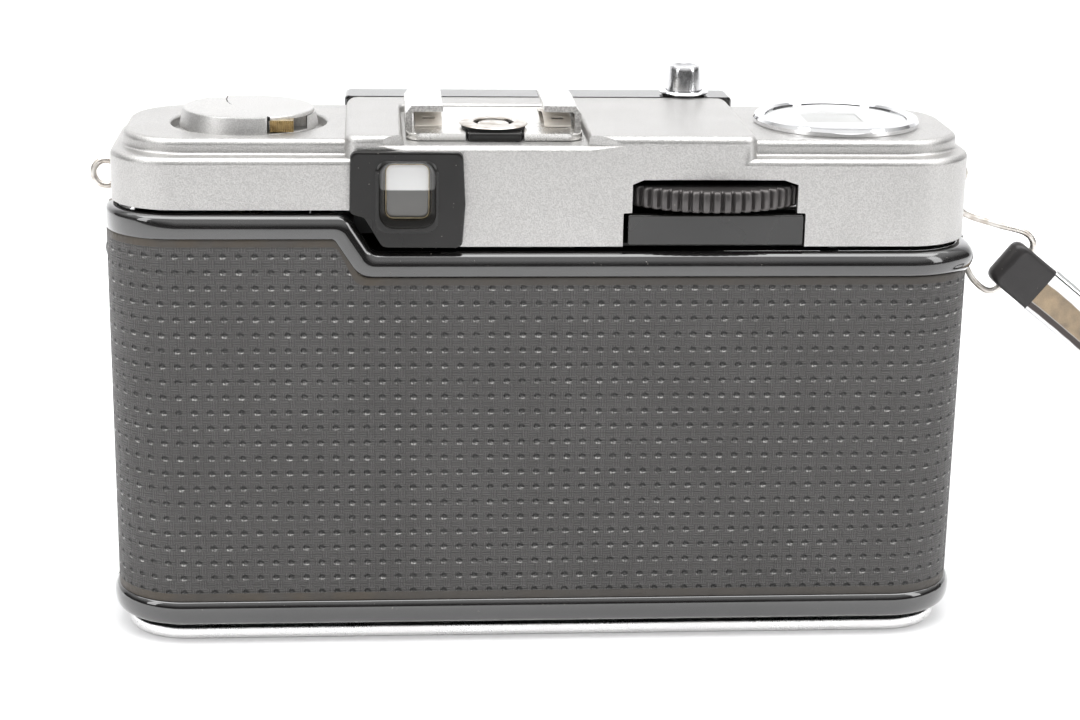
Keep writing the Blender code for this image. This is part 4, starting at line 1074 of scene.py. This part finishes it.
def eyepiece():
    """Black bezel with a raised lip round the finder's rear window."""
    face = 16.5
    cuts = [(15.3, 0.0), (face - 0.35, 0.0), (face - 0.12, -0.08), (face, -0.32)]
    bezel = pillow("eyepiece_bezel", bezel_outline, cuts, "Y")
    lip = grown(14.2, 21.6, 56.1, 64.9, 1.3)
    merge(bezel, pillow("lip", lip, [(15.8, 0.35), (face + 0.1, 0.25), (face + 0.3, 0.0), (face + 0.4, -0.25)], "Y"))
    merge(bezel, block("spigot", (13.9, 21.5, 56.0, 64.7, 0.8), 11.6, 16.0, "Y"))
    bore = grown(14.9, 20.7, 57.2, 64.4, 1.3)
    carve(bezel, pillow("bore", bore, [(5, 0), (14.2, 0), (15.2, 0.1), (16.5, 0.45), (16.9, 0.75), (30, 0.75)], "Y"))
    finish(bezel, PLASTIC, "camera_body", "black_plastic", "eyepiece_frame", crease=35)
    pane = grown(14.75, 20.85, 57.0, 64.55, 1.25)
    glass = pillow("finder_glass", pane, [(13.4, 0), (14.05, 0), (14.2, -0.15), (14.28, -0.5), (14.3, -0.8)], "Y")
    # The finder's glass carries a painted view: painted light above and a painted, dimmer table below.
    finish(glass, painted_finder_view(), "camera_body", "glass", "eyepiece_glass")
    rim = tube("finder_rim", [(x, 14.35, z) for x, z in pane(-0.32)], 0.05, 8)
    finish(rim, BRASS, "camera_body", "brass")


def sight():
    """Glossy black panel along the front of the hump, with the finder's front window."""

    def shape(offset):
        left, right = HUMP_RIGHT_X - 0.9 - offset, HUMP_LEFT_X + 0.3 + offset
        return rounded_box(left, right, -20.0 - offset, HUMP_FRONT_Y - 0.1, 1.2 + offset, 10)

    levels = [(49.8, -0.5), (49.95, -0.2), (50.3, 0)]
    levels += [(68.1 - 0.7 + rise, inset) for rise, inset in quarter(0.7, 0, 90)]
    panel = pillow("sight_panel", shape, levels)
    hollow = rounded_box(HUMP_RIGHT_X + 0.4, HUMP_LEFT_X - 0.9, -18.7, -5, 0.8, 4)
    carve(panel, prism("panel_inside", hollow, 53.0, 66.7))
    carve(panel, block("panel_seat", (-40, 40, -16.4, 0, 0.2, 2), 40, SHOULDER_TOP + 0.1))
    carve(panel, rod("button_hole", (*BUTTON, 2.6), 60, 80))
    opening = grown(12.8, 22.8, 56.2, 64.2, 1.0)
    carve(panel, pillow("sight_opening", opening, [(-40, 0.7), (-20.0, 0.7), (-19.5, 0.15), (-19.2, 0), (-15, 0)], "Y"))
    carve(panel, block("sight_rebate", (11.4, 24.1, 54.9, 65.5, 0.8), -19.4, -15, "Y"))
    paint = black("panel enamel", (0.010, 0.0095, 0.009), 0.10, 2.4, 0.006, 0.4, coat_weight=0.3, ior=1.55).material
    finish(panel, paint, "camera_body", "black_enamel", "front_panel", crease=35)
    pane = block("sight_glass", (11.7, 23.8, 55.2, 65.2, 0.8), -19.3, -18.4, "Y")
    finish(soften(pane, 0.1), COATED, "camera_body", "glass", "front_window")


def release():
    collar = [(2.55, 68.2), (3.1, 68.2), (3.35, 68.35), (3.42, 68.5), (3.3, 68.65), (3.0, 68.75), (2.55, 68.75)]
    finish(turned("button_collar", collar, BUTTON), CHROME, "camera_body", "chrome", "release_collar", crease=30)
    stem = [(0, 63.7), (1.0, 63.7), (1.0, 65.8), (2.3, 65.8), (2.47, 66.1), (2.45, 68.9), (2.22, 71.5), (2.14, 71.95)]
    stem += [(2.0, 72.14), (1.8, 72.2), (1.6, 72.14), (1.4, 72.0), (0.7, 71.85), (0, 71.8)]
    worn_chrome = metal("worn chrome", (0.70, 0.70, 0.71), 0.2, 0.8, 0.002, 0.04, 0.02, 0.0008).material
    finish(turned("button_stem", stem, BUTTON), worn_chrome, "shutter_button", "chrome", "release_button", crease=30)


def shoe():
    """Accessory shoe: a pressed bracket with bent rails, its spring pads, and the insulated flash contact."""
    x, low = 6.65, HUMP_TOP - 1.15
    half, roof = 11.3, low + 3.0
    floor = rounded_box(x - half, x + half, -7.2, 12.0, 2.2, 10)

    def sheet(grow):
        return [(x + (u - x) * (1 + grow / half), v) for u, v in floor]

    plate = pillow("shoe_floor", sheet, [(low, -0.06), (low + 0.1, 0), (low + 0.8, 0), (low + 0.9, -0.06)])
    slot = rounded_box(x - 3.75, x + 3.75, 3.0, 20, 0.6, 6)
    carve(plate, prism("contact_slot", slot, 50, 90))
    finish(plate, STEEL, "camera_body", "steel", "shoe_bracket", crease=30)
    rails, edges = [], []
    for side in (-1, 1):
        inner = side * 6.5
        wall = [(side * 10.45, low + 0.8), (side * half, low + 0.75), (side * half, roof - 0.3)]
        wall += [(side * 10.55, roof + 0.74), (inner, roof + 0.78), (inner, roof + 0.02)]
        wall += [(side * 10.2, roof - 0.02), (side * 10.45, roof - 0.35)]
        outline = [(x + u, v) for u, v in wall]
        rails.append(prism(f"rail_{side}", outline, -6.7, 8.15, "Y"))
        edges.append(prism(f"rail_edge_{side}", outline, 8.16, 8.3, "Y"))
    finish(soften(together("shoe_rails", *rails), 0.07, 2), STEEL, "camera_body", "steel", crease=30)
    finish(soften(together("shoe_rail_ends", *edges), 0.04, 2), SHEARED, "camera_body", "steel", crease=30)
    pads = []
    for side in (-1, 1):
        middle = x + side * 8.35
        left, right = middle - 1.75, middle + 1.75
        strips = []
        for y, lift in ((-5.5, 0.0), (-3.0, 0.15), (0.0, 0.75), (3.0, 1.15), (5.4, 0.95), (7.6, 0.05)):
            under, over = low + 0.92 + lift, low + 1.1 + lift
            strips.append([(left, y, under), (right, y, under), (right, y, over), (left, y, over)])
        pad = lofted(f"spring_{side}", strips)
        for k, y in enumerate((5.9, 2.6)):
            hole = (middle - 0.85, middle + 0.85, y - 0.28, y + 0.28, 0.25, 4)
            carve(pad, block(f"pad_slot_{side}_{k}", hole, 60, 75))
        pads.append(pad)
    finish(together("shoe_springs", *pads), spring_steel(), "camera_body", "steel", crease=35)
    tab = rounded_box(x - 3.5, x + 3.5, 3.2, 12.3, 0.5, 6)
    insulator = soften(prism("contact_block", tab, low - 0.08, low + 1.0), 0.28, 4)
    finish(insulator, PLASTIC, "camera_body", "black_plastic", "shoe_insulator")
    at = (x, 7.3)

    def raised(name, profile):
        return turned(name, [(r, low + rise) for r, rise in profile], at)

    ring = [(2.6, 1.3), (4.25, 1.3), (4.42, 1.38), (4.3, 1.5), (2.85, 1.66), (2.6, 1.6)]
    disc = [(0, 1.0), (1.95, 1.0), (2.0, 1.4), (1.8, 1.5), (0.8, 1.54), (0, 1.54)]
    moat = [(1.9, 0.9), (4.1, 0.9), (4.15, 1.32), (2.65, 1.32), (2.65, 1.05), (1.9, 1.05)]
    finish(raised("contact_gap", moat), INTERIOR, "camera_body", "black_plastic")
    outer, middle = raised("contact_ring", ring), raised("contact_disc", disc)
    finish(together("flash_contact", outer, middle), nickel(), "camera_body", "steel", "shoe_contact", crease=35)


def counter():
    """Frame counter: a chromed bezel, a domed window and a white mask over the moving dial."""
    at = (COUNTER_X, 0)
    ring = [(9.3, 66.0), (9.7, 66.0), (9.7, 67.0), (10.75, 67.02), (10.95, 67.2), (11.0, 67.7), (10.8, 68.1)]
    ring += [(10.3, 68.3), (9.8, 68.3), (9.4, 68.05), (9.3, 67.5)]
    finish(turned("counter_ring", ring, at, steps=128), CHROME, "camera_body", "chrome", "counter_bezel", crease=30)
    reach, thick, crown = 9.28, 0.18, 1.05
    arch = [(reach * k / 16, 67.85 + crown * (1 - (k / 16) ** 2)) for k in range(17)]
    lens = turned("counter_dome", arch + [(r, z - thick) for r, z in arch[::-1]], at, steps=128)
    finish(lens, CLEAR, "camera_body", "glass", "counter_window", crease=60)
    mask = turned("counter_mask", [(0, 67.05), (9.28, 67.05), (9.28, 67.2), (0, 67.2)], at, steps=128)
    carve(mask, block("mask_opening", (COUNTER_X - 3.9, COUNTER_X + 3.9, -6.6, 0.6, 0.3, 4), 60, 70))
    finish(mask, white_paint(), "camera_body", "white_dial")
    dial = [(0, 51.0), (1.2, 51.0), (1.2, 65.8), (8.75, 65.8), (8.8, 66.0), (8.75, 66.25), (0, 66.25)]
    finish(turned("counter_disc", dial, at, steps=128), dial_face(), "counter", "white_dial", "counter_dial", crease=30)
    index = block("counter_index", (COUNTER_X - 3.85, COUNTER_X + 3.85, -6.5, 0.5, 0.3, 4), 66.9, 67.0)
    finish(index, grey_window(), "camera_body", "white_dial")


# ---------------------------------------------------------------- film transport and rewind


def thumb_wheel():
    """Advance wheel with rounded teeth, and the black guard under it."""
    teeth, steps = 66, 12
    tooth, crown, notch = 0.62, 0.13, 0.5  # a tooth's share of the pitch, its roundness and the depth between teeth
    rim_r = WHEEL_R - 0.14
    bottom, top = span("advance_wheel")[1].z - 2.8, span("advance_wheel")[1].z

    def rim(offset):
        out = []
        for k in range(teeth):
            for j in range(steps):
                share = j / steps
                if share < tooth:
                    r = rim_r + crown * sin(pi * share / tooth) ** 0.7
                else:
                    r = rim_r - notch * sin(pi * (share - tooth) / (1 - tooth)) ** 0.6
                a = 2 * pi * (k + share) / teeth
                out.append((WHEEL[0] + (r + offset) * cos(a), WHEEL[1] + (r + offset) * sin(a)))
        return out

    levels = [(bottom, -0.35), (bottom + 0.12, -0.1), (bottom + 0.35, 0)]
    wheel = pillow("wheel_rim", rim, levels + [(top - 0.45, 0), (top - 0.15, -0.16), (top, -0.5)])
    hub = [(0, 50.4), (2.5, 50.4), (2.5, 54.5), (5.0, 54.5), (5.0, bottom + 0.4), (0, bottom + 0.4)]
    merge(wheel, turned("hub", hub, tuple(WHEEL)))
    finish(wheel, WHEEL_BLACK, "wheel", "dark_wheel", "advance_wheel", crease=45)
    guard = block("guard", (-32.85, -10.3, 54.0, 57.9, 0.25, 4), 14.2, 15.4, "Y")
    gloss = black("gloss black plastic", (0.014, 0.0135, 0.013), 0.12, 5.0, 0.02, 0.4, ior=1.6).material
    finish(soften(guard, 0.16, 4), gloss, "camera_body", "black_plastic", "wheel_guard")
    back_wall = block("wheel_shade", (-37.0, -6.0, 53.6, 65.0, 0.3, 3), -12.2, -11.8, "Y")
    finish(back_wall, INTERIOR, "camera_body", "black_plastic")
    tray = block("wheel_tray", (-37.2, -6.4, 6.0, 14.15, 0.4, 3), 53.65, 54.0)
    carve(tray, rod("tray_hole", (*WHEEL, 5.3), 50, 60))
    finish(tray, INTERIOR, "camera_body", "black_plastic")


# The S-shaped split between the knob and its crank, from the film back's side, from the knob's axis
SPLIT = [(-3.1, 7.8), (-2.3, 6.2), (-1.2, 4.3), (0.0, 2.4), (1.2, 0.7), (2.1, -1.0), (2.7, -2.9), (3.0, -5.2)]
SPLIT += [(3.0, -7.8)]


def crank_outline(radius, shift):
    """Plan of the folding crank, on the hinge side of an S-shaped split."""
    start = degrees(atan2(SPLIT[-1][1], SPLIT[-1][0])) + 360
    end = degrees(atan2(SPLIT[0][1], SPLIT[0][0]))
    return split_line(shift) + arc(CASSETTE_X, 0, radius, start, end, 48)


def split_line(shift):
    return [(CASSETTE_X + x + shift, y) for x, y in SPLIT]


def rewind():
    """Rewind knob with the crank folded into it, and the crank's ridged grip in its slot."""
    at = (CASSETTE_X, 0)
    bottom, top = KNOB_LOW, KNOB_TOP + 0.3
    profile = [(0, bottom), (8.95, bottom), (9.05, bottom + 0.12), (8.98, bottom + 0.5), (8.62, top - 0.28)]
    profile += [(8.52, top - 0.1), (8.32, top), (0, top)]
    knob = turned("knob", profile, at, steps=144)
    floor = top - 0.62
    carve(knob, prism("crank_pocket", crank_outline(10.0, 0.32), floor, 80))
    notch = rounded_box(CASSETTE_X - 12, CASSETTE_X + 5.45, -12, -7.2 + 1.25, 0.2, 3)
    carve(knob, prism("swing_notch", notch, 60, 80))
    slot = rounded_box(CASSETTE_X - 7.7, CASSETTE_X - 2.7, 3.0, 12.0, 0.25, 3)
    carve(knob, prism("grip_slot", slot, bottom + 0.35, 80))
    knob_silver = metal("knob silver", (0.62, 0.613, 0.602), 0.42, 0.17, 0.02, 0.05, 0.1).material
    finish(knob, knob_silver, "rewind", "satin_silver", "rewind_knob", crease=32)

    def plate_shape(offset):
        return crank_outline(8.42 + offset, -offset)

    levels = [(floor + 0.06, 0.1), (top - 0.22, 0.08), (top - 0.11, -0.02), (top - 0.08, -0.12)]
    plate = pillow("crank_plate", plate_shape, levels)
    finish(plate, knob_silver, "crank", "satin_silver", "rewind_crank", crease=32)
    # A matt black strip in the split between knob and crank: painted shade standing in for the shadow in that gap.
    painted_gap_shade = prism("crank_gap_shade", split_line(0.04) + split_line(0.30)[::-1], floor + 0.02, top - 0.1)
    finish(painted_gap_shade, INTERIOR, "rewind", "black_plastic")
    ridges, grip = 11, []
    left, right, back = CASSETTE_X - 6.05, CASSETTE_X - 3.05, 8.05
    for k in range(ridges * 6 + 1):
        share = k / (ridges * 6)
        grip.append((left + (right - left) * share, back + 0.09 * cos(2 * pi * ridges * share)))
    outline = [(left, 5.6)] + grip + [(right, 5.6)]
    handle = prism("crank_handle", outline, bottom + 0.5, floor + 0.1)
    finish(handle, BRASS, "crank", "brass", crease=60)


# ---------------------------------------------------------------- lens


def lens():
    """Lens barrel with the selenium cell round it, the aperture ring and the film speed ring."""
    axis = (0, LENS_Z)

    def spun(name, profile, paint, body, slot, node, crease, steps=128):
        finish(turned(name, profile, axis, "Y", steps), paint, body, slot, node, crease=crease)

    plate = [(12.4, -16.2), (21.9, -16.2), (22.05, -16.4), (22.0, -17.4), (21.8, -17.8), (21.4, -18.0), (12.4, -18.0)]
    spun("mount_ring", plate, SATIN, "camera_body", "satin_silver", "lens_mount_plate", 30)
    barrel = [(8.6, -9.0), (12.0, -9.0), (12.0, -18.2), (17.0, -18.2), (17.0, -24.0), (20.6, -24.0), (20.8, -24.2)]
    barrel += [(20.8, -30.8), (20.6, -31.15), (20.3, -31.2), (20.1, -31.0), (20.1, -28.6), (12.6, -28.6), (12.6, -30.0)]
    for r in (10.6, 10.2, 9.8, 9.4):
        barrel += [(r, -30.0 + (10.6 - r)), (r - 0.2, -30.0 + (10.6 - r) + 0.3)]
    barrel += [(8.9, -26.4), (8.6, -26.0), (8.6, -17.0), (11.3, -17.0), (11.3, -13.0), (8.6, -13.0)]
    spun("barrel", barrel, PLASTIC, "camera_body", "black_plastic", "lens_barrel", 30)

    count = 90

    def ribbed(offset):
        out = []
        for k in range(count):
            for share, r in ((0.0, 20.75), (0.2, 21.15), (0.5, 21.2), (0.8, 21.15)):
                a = 2 * pi * (k + share) / count
                out.append(((r + offset) * cos(a), LENS_Z + (r + offset) * sin(a)))
        return out

    ring = pillow("aperture_grip", ribbed, [(-23.6, -0.3), (-23.35, 0), (-18.8, 0), (-18.5, -0.3)], "Y")
    carve(ring, rod("ring_bore", (0, LENS_Z, 17.3, 96), -30, -10, "Y"))
    finish(ring, SATIN, "aperture", "satin_silver", "aperture_ring", crease=35)
    cell = [(13.0, -28.9), (19.8, -28.9), (19.8, -29.5), (13.0, -29.5)]
    spun("cell", cell, SELENIUM, "camera_body", "selenium", "selenium_cell", 40)
    window = [(12.9, -29.8), (19.8, -29.8), (19.85, -31.0), (19.4, -31.35), (13.3, -31.35), (12.9, -31.0)]
    spun("cell_cover", window, BUBBLED, "camera_body", "glass", "cell_window", 35, 192)
    speed = [(9.7, -30.3), (12.5, -30.3), (12.5, -32.2), (12.35, -32.5), (12.05, -32.6), (10.3, -32.6), (9.9, -32.45)]
    speed += [(9.7, -32.0)]
    spun("speed_ring", speed, PLASTIC, "film_speed", "black_plastic", "film_speed_ring", 35)
    crown = [(8.9 * (1 - k / 16), -27.6 - 1.9 * (1 - (1 - k / 16) ** 2)) for k in range(17)]
    element = [(0, -24.5), (8.9, -26.4)] + crown
    spun("front_element", element, COATED, "camera_body", "glass", "front_lens", 40, 96)


def latch():
    """Nickel door latch: a plate with a ribbed thumb piece."""
    x = HALF_W - 1.7
    plate = block("latch_plate", (-5.0, 5.0, LENS_Z - 4.0, LENS_Z + 7.4, 0.9), x, x + 1.0, "X")
    soften(plate, 0.18)
    ribs = []
    for i in range(4):
        z = LENS_Z - 1.0 + 1.6 * i
        rib = block(f"rib_{i}", (-3.6, 3.6, z, z + 0.8, 0.35), x + 0.5, x + 1.9, "X")
        ribs.append(soften(rib, 0.25))
    finish(together("latch_button", plate, *ribs), NICKEL, "latch", "nickel", "door_latch", crease=35)


# ---------------------------------------------------------------- lugs and strap


def lug(node, side):
    ring_x = side * 58.0
    ring = tube(f"{node}_ring", [(x, LUG_Y, z) for x, z in circle(ring_x, LUG_Z, 1.72, 48)], 0.46)

    def stem(name, profile, steps):
        return turned(name, [(r, side * x) for r, x in profile], (LUG_Y, LUG_Z), "X", steps)

    post = stem(f"{node}_post", [(0, 53.5), (0.75, 53.5), (0.7, 56.4), (0, 56.4)], 32)
    base_disc = stem(f"{node}_foot", [(0, 55.5), (1.5, 55.5), (1.5, 55.8), (1.2, 56.0), (0, 56.0)], 48)
    finish(together(f"{node}_visual", ring, post, base_disc), NICKEL, "camera_body", "nickel", node)


def strap_point(s, d, w):
    """Point at distance s along the strap from the tab's hinge line, d out along Y and w across."""
    return TAB_AXIS + STRAP_ALONG * s + Vector((0, d, 0)) + STRAP_ACROSS * w


def link():
    """Bent wire between the lug and the strap's tab."""
    y = LUG_Y
    top, low = TAB_AXIS + STRAP_ACROSS * 3.9, TAB_AXIS - STRAP_ACROSS * 3.9
    points = [
        (LINK_PIVOT[0], y - 1.2, LINK_PIVOT[2]),
        (LINK_PIVOT[0], y + 1.2, LINK_PIVOT[2]),
        (-58.7, y + 1.7, 55.4),
        (-59.7, y + 1.2, 53.2),
        (-64.6, y + 0.4, 51.4),
        (-69.0, y + 0.1, 50.1),
        tuple(top),
        tuple(TAB_AXIS + STRAP_ACROSS * 1.3),
        tuple(TAB_AXIS - STRAP_ACROSS * 1.3),
        tuple(low),
        (-63.6, y - 0.1, 42.0),
        (-61.4, y - 0.5, 44.3),
        (-59.9, y - 1.2, 49.0),
        (-59.0, y - 1.7, 54.0),
    ]
    finish(tube("link_wire", smooth_loop(points, 8), 0.45), NICKEL, "link", "nickel", "strap_link")


def strap():
    """Vinyl tab folded round the link, its chromed clamp, and the wrist band."""
    half = 1.75
    profile = [(4.6, -half), (4.6, half)] + arc(-0.9, 0, half, 90, 270, 20)

    def tab_section(inset, pull):
        return [(s + pull * (1 - (s + 2.65) / 7.25), d * (1 - inset / half)) for s, d in profile]

    edge = [(3.35, 0.5, 1.5), (3.31, 0.3, 1.1), (3.2, 0.14, 0.72), (3.0, 0.04, 0.4), (2.7, 0.0, 0.16), (2.2, 0.0, 0.0)]
    widths = [(-w, inset, pull) for w, inset, pull in edge] + edge[::-1]
    tab = lofted("tab", [[strap_point(s, d, w) for s, d in tab_section(inset, pull)] for w, inset, pull in widths])
    finish(tab, VINYL, "strap", "vinyl", "strap_tab", crease=50)

    def clamp(s, grow):
        outline = rounded_box(-1.75 - grow, 1.75 + grow, -3.62 - grow, 3.62 + grow, 0.95 + grow, 10)
        return [strap_point(s, d, w) for d, w in outline]

    stations = [(4.5, -0.25), (4.55, -0.08), (4.7, 0.0), (33.8, 0.0), (34.0, -0.08), (34.05, -0.25)]
    sleeve = lofted("clamp", [clamp(s, grow) for s, grow in stations])
    finish(sleeve, clamp_chrome(), "strap", "chrome", "strap_sleeve", crease=40)
    wrist_band()


def wrist_band():
    """Flat band that leaves the clamp, comes down to the table and loops back, standing on its edge."""
    origin = TAB_AXIS + STRAP_ALONG * SLEEVE_END
    half_width, half_thick = 3.0, 0.7
    floor = half_width + 0.35
    tip_x, turn_r = -168.0, 13.0
    run, apart = 46.0, 0.95  # where the band has come down, and half the gap between its ends in the clamp

    def level(x):
        t = min(1.0, max(0.0, (origin.x - x) / run))
        return floor + (origin.z - floor) * (1 - t) ** 2 * (1 + 0.35 * t)

    def spread(x):
        t = min(1.0, max(0.0, (origin.x - x) / (origin.x - tip_x - turn_r)))
        return apart + (turn_r - apart) * t * t * (3 - 2 * t)

    count = 60
    reach = origin.x - (tip_x + turn_r)
    steps = [origin.x - reach * i / count for i in range(count + 1)]
    going = [(x, origin.y - spread(x)) for x in steps]
    angles = [pi * k / 24 for k in range(1, 24)]
    bend = [(tip_x + turn_r - turn_r * sin(a), origin.y - turn_r * cos(a)) for a in angles]
    plan = going + bend + [(x, 2 * origin.y - y) for x, y in going[::-1]]
    outline = rounded_box(-half_thick, half_thick, -half_width, half_width, 0.42, 5)
    sections, seams = [], ([], [])
    for i, (x, y) in enumerate(plan):
        before, after = plan[max(i - 1, 0)], plan[min(i + 1, len(plan) - 1)]
        heading = Vector((after[0] - before[0], after[1] - before[1], 0)).normalized()
        normal = Vector((-heading.y, heading.x, 0))
        lean = min(1.0, max(0.0, (origin.x - x) / 40.0))
        width = STRAP_ACROSS.lerp(Vector((0, 0, 1)), lean).normalized()
        middle = Vector((x, y, level(x)))
        sections.append([middle + normal * a + width * b for a, b in outline])
        for seam, b in zip(seams, (-2.2, 2.2)):
            seam.append(middle + normal * (half_thick - 0.02) + width * b)
    band = lofted("wrist_band", sections)
    finish(band, VINYL, "strap", "vinyl", "wrist_strap", crease=50)
    cotton, stitches = thread(), []
    for n, seam in enumerate(seams):
        for i in range(3, len(seam) - 3, 2):
            stitches.append(tube(f"stitch_{n}_{i}", [seam[i], seam[i].lerp(seam[i + 1], 0.6)], 0.12, 8, closed=False))
    finish(together("stitching", *stitches), cotton, "strap", "vinyl")


def carried_over():
    """Finishes for the CAD pieces that stay as they are, most of them inside."""
    paints = {
        "sprocket_shaft": STEEL,
        "take_up_spool": PLASTIC,
        "rewind_fork": STEEL,
        "rewind_collar": BRASS,
        "hinge_pin": STEEL,
        "pressure_plate": ENAMEL,
        "pressure_spring": STEEL,
        "shutter_base": STEEL,
        "shutter_blade_1": INTERIOR,
        "shutter_blade_2": INTERIOR,
        "viewfinder_tube": INTERIOR,
        "rear_lens": COATED,
    }
    for node, paint in paints.items():
        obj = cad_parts[node]
        for holder in obj.material_slots:
            holder.material = paint


# ---------------------------------------------------------------- set and light


def paper():
    made = Finish("white paper", (0.92, 0.92, 0.925), 0.9)
    made.colour(made.mix(made.noise(60.0, 2.0), (0.91, 0.91, 0.915), (0.93, 0.93, 0.935)))
    return made.material


def studio():
    """A white sweep under and behind the camera, and soft boxes above and beside it."""
    bm = bmesh.new()
    back, far, half = -700.0, 1300.0, 1500.0
    path = [(far, 0.0), (back + 200, 0.0)] + [
        (back + 200 - 200 * sin(a), 200 - 200 * cos(a)) for a in (0.3, 0.6, 0.9, 1.2, 1.5708)
    ]
    path.append((back, 1500.0))
    rows = [[bm.verts.new((x, y, z)) for x in (-half, half)] for y, z in path]
    for one, two in zip(rows, rows[1:]):
        bm.faces.new((one[0], one[1], two[1], two[0]))
    sweep = solid("sweep", bm)
    sweep.data.shade_smooth()
    sweep.data.materials.append(paper())

    boxes = {
        "overhead": ((0.0, 0.1, 0.75), (0, 0, 0.03), 1.3, 0.42, 6.3),
        "left": ((0.75, 0.45, 0.45), (0, 0, 0.03), 0.25, 0.6, 1.6),
        "right": ((-0.75, 0.45, 0.45), (0, 0, 0.03), 0.25, 0.6, 1.6),
        "backdrop": ((0.0, -0.25, 0.6), (0, -0.6, 0.1), 1.2, 0.4, 1.8),
    }
    for name, (place, aim, width, height, power) in boxes.items():
        light = bpy.data.lights.new(name, "AREA")
        light.shape = "RECTANGLE"
        light.size, light.size_y, light.energy = width, height, power
        obj = bpy.data.objects.new(name, light)
        obj.location = place
        obj.rotation_euler = (Vector(aim) - Vector(place)).to_track_quat("-Z", "Y").to_euler()
        bpy.context.scene.collection.objects.link(obj)

    world = bpy.data.worlds.new("room")
    bpy.context.scene.world = world
    world.use_nodes = True
    tree = world.node_tree
    background = tree.nodes["Background"]
    place = tree.nodes.new("ShaderNodeTexCoord")
    axes = tree.nodes.new("ShaderNodeSeparateXYZ")
    ramp = tree.nodes.new("ShaderNodeValToRGB")
    tree.links.new(place.outputs["Generated"], axes.inputs[0])
    tree.links.new(axes.outputs[2], ramp.inputs[0])
    tree.links.new(ramp.outputs[0], background.inputs["Color"])
    stops = [(0.0, 0.12), (0.18, 0.05), (0.38, 0.45), (0.6, 1.0)]  # (height on the sky, grey)
    elements = ramp.color_ramp.elements
    elements[1].position = stops[-1][0]
    for position, _ in stops[1:-1]:
        elements.new(position)
    for element, (position, grey) in zip(elements, stops):
        element.position, element.color = position, (grey, grey, grey, 1)
    background.inputs["Strength"].default_value = 1.0
    bpy.context.scene.view_settings.view_transform = "Standard"
    bpy.context.scene.view_settings.look = "None"


def camera():
    """A short telephoto view of the back, from a little above and to the rewind side."""
    data = bpy.data.cameras.new("view")
    data.sensor_width, data.lens, data.clip_start = 36.0, 75.3, 0.01
    turn, tilt, roll = (radians(angle) for angle in (4.40, 16.45, 0.99))
    look = Vector((-sin(turn) * cos(tilt), -cos(turn) * cos(tilt), -sin(tilt)))
    right = look.cross(Vector((0, 0, 1))).normalized()
    up = right.cross(look)
    right, up = right * cos(roll) + up * sin(roll), up * cos(roll) - right * sin(roll)
    obj = bpy.data.objects.new("view", data)
    obj.matrix_world = Matrix.Translation((0.0222, 0.2948, 0.1215)) @ Matrix((right, up, -look)).transposed().to_4x4()
    bpy.context.scene.collection.objects.link(obj)
    bpy.context.scene.camera = obj


for build in (casting, front_shell, front_skin, door_shell, door_skin, base, cover, eyepiece, sight, release, shoe):
    build()
for build in (counter, thumb_wheel, rewind, lens, latch):
    build()
lug("lug_left", 1)
lug("lug_right", -1)
for build in (link, strap, carried_over, studio, camera):
    build()
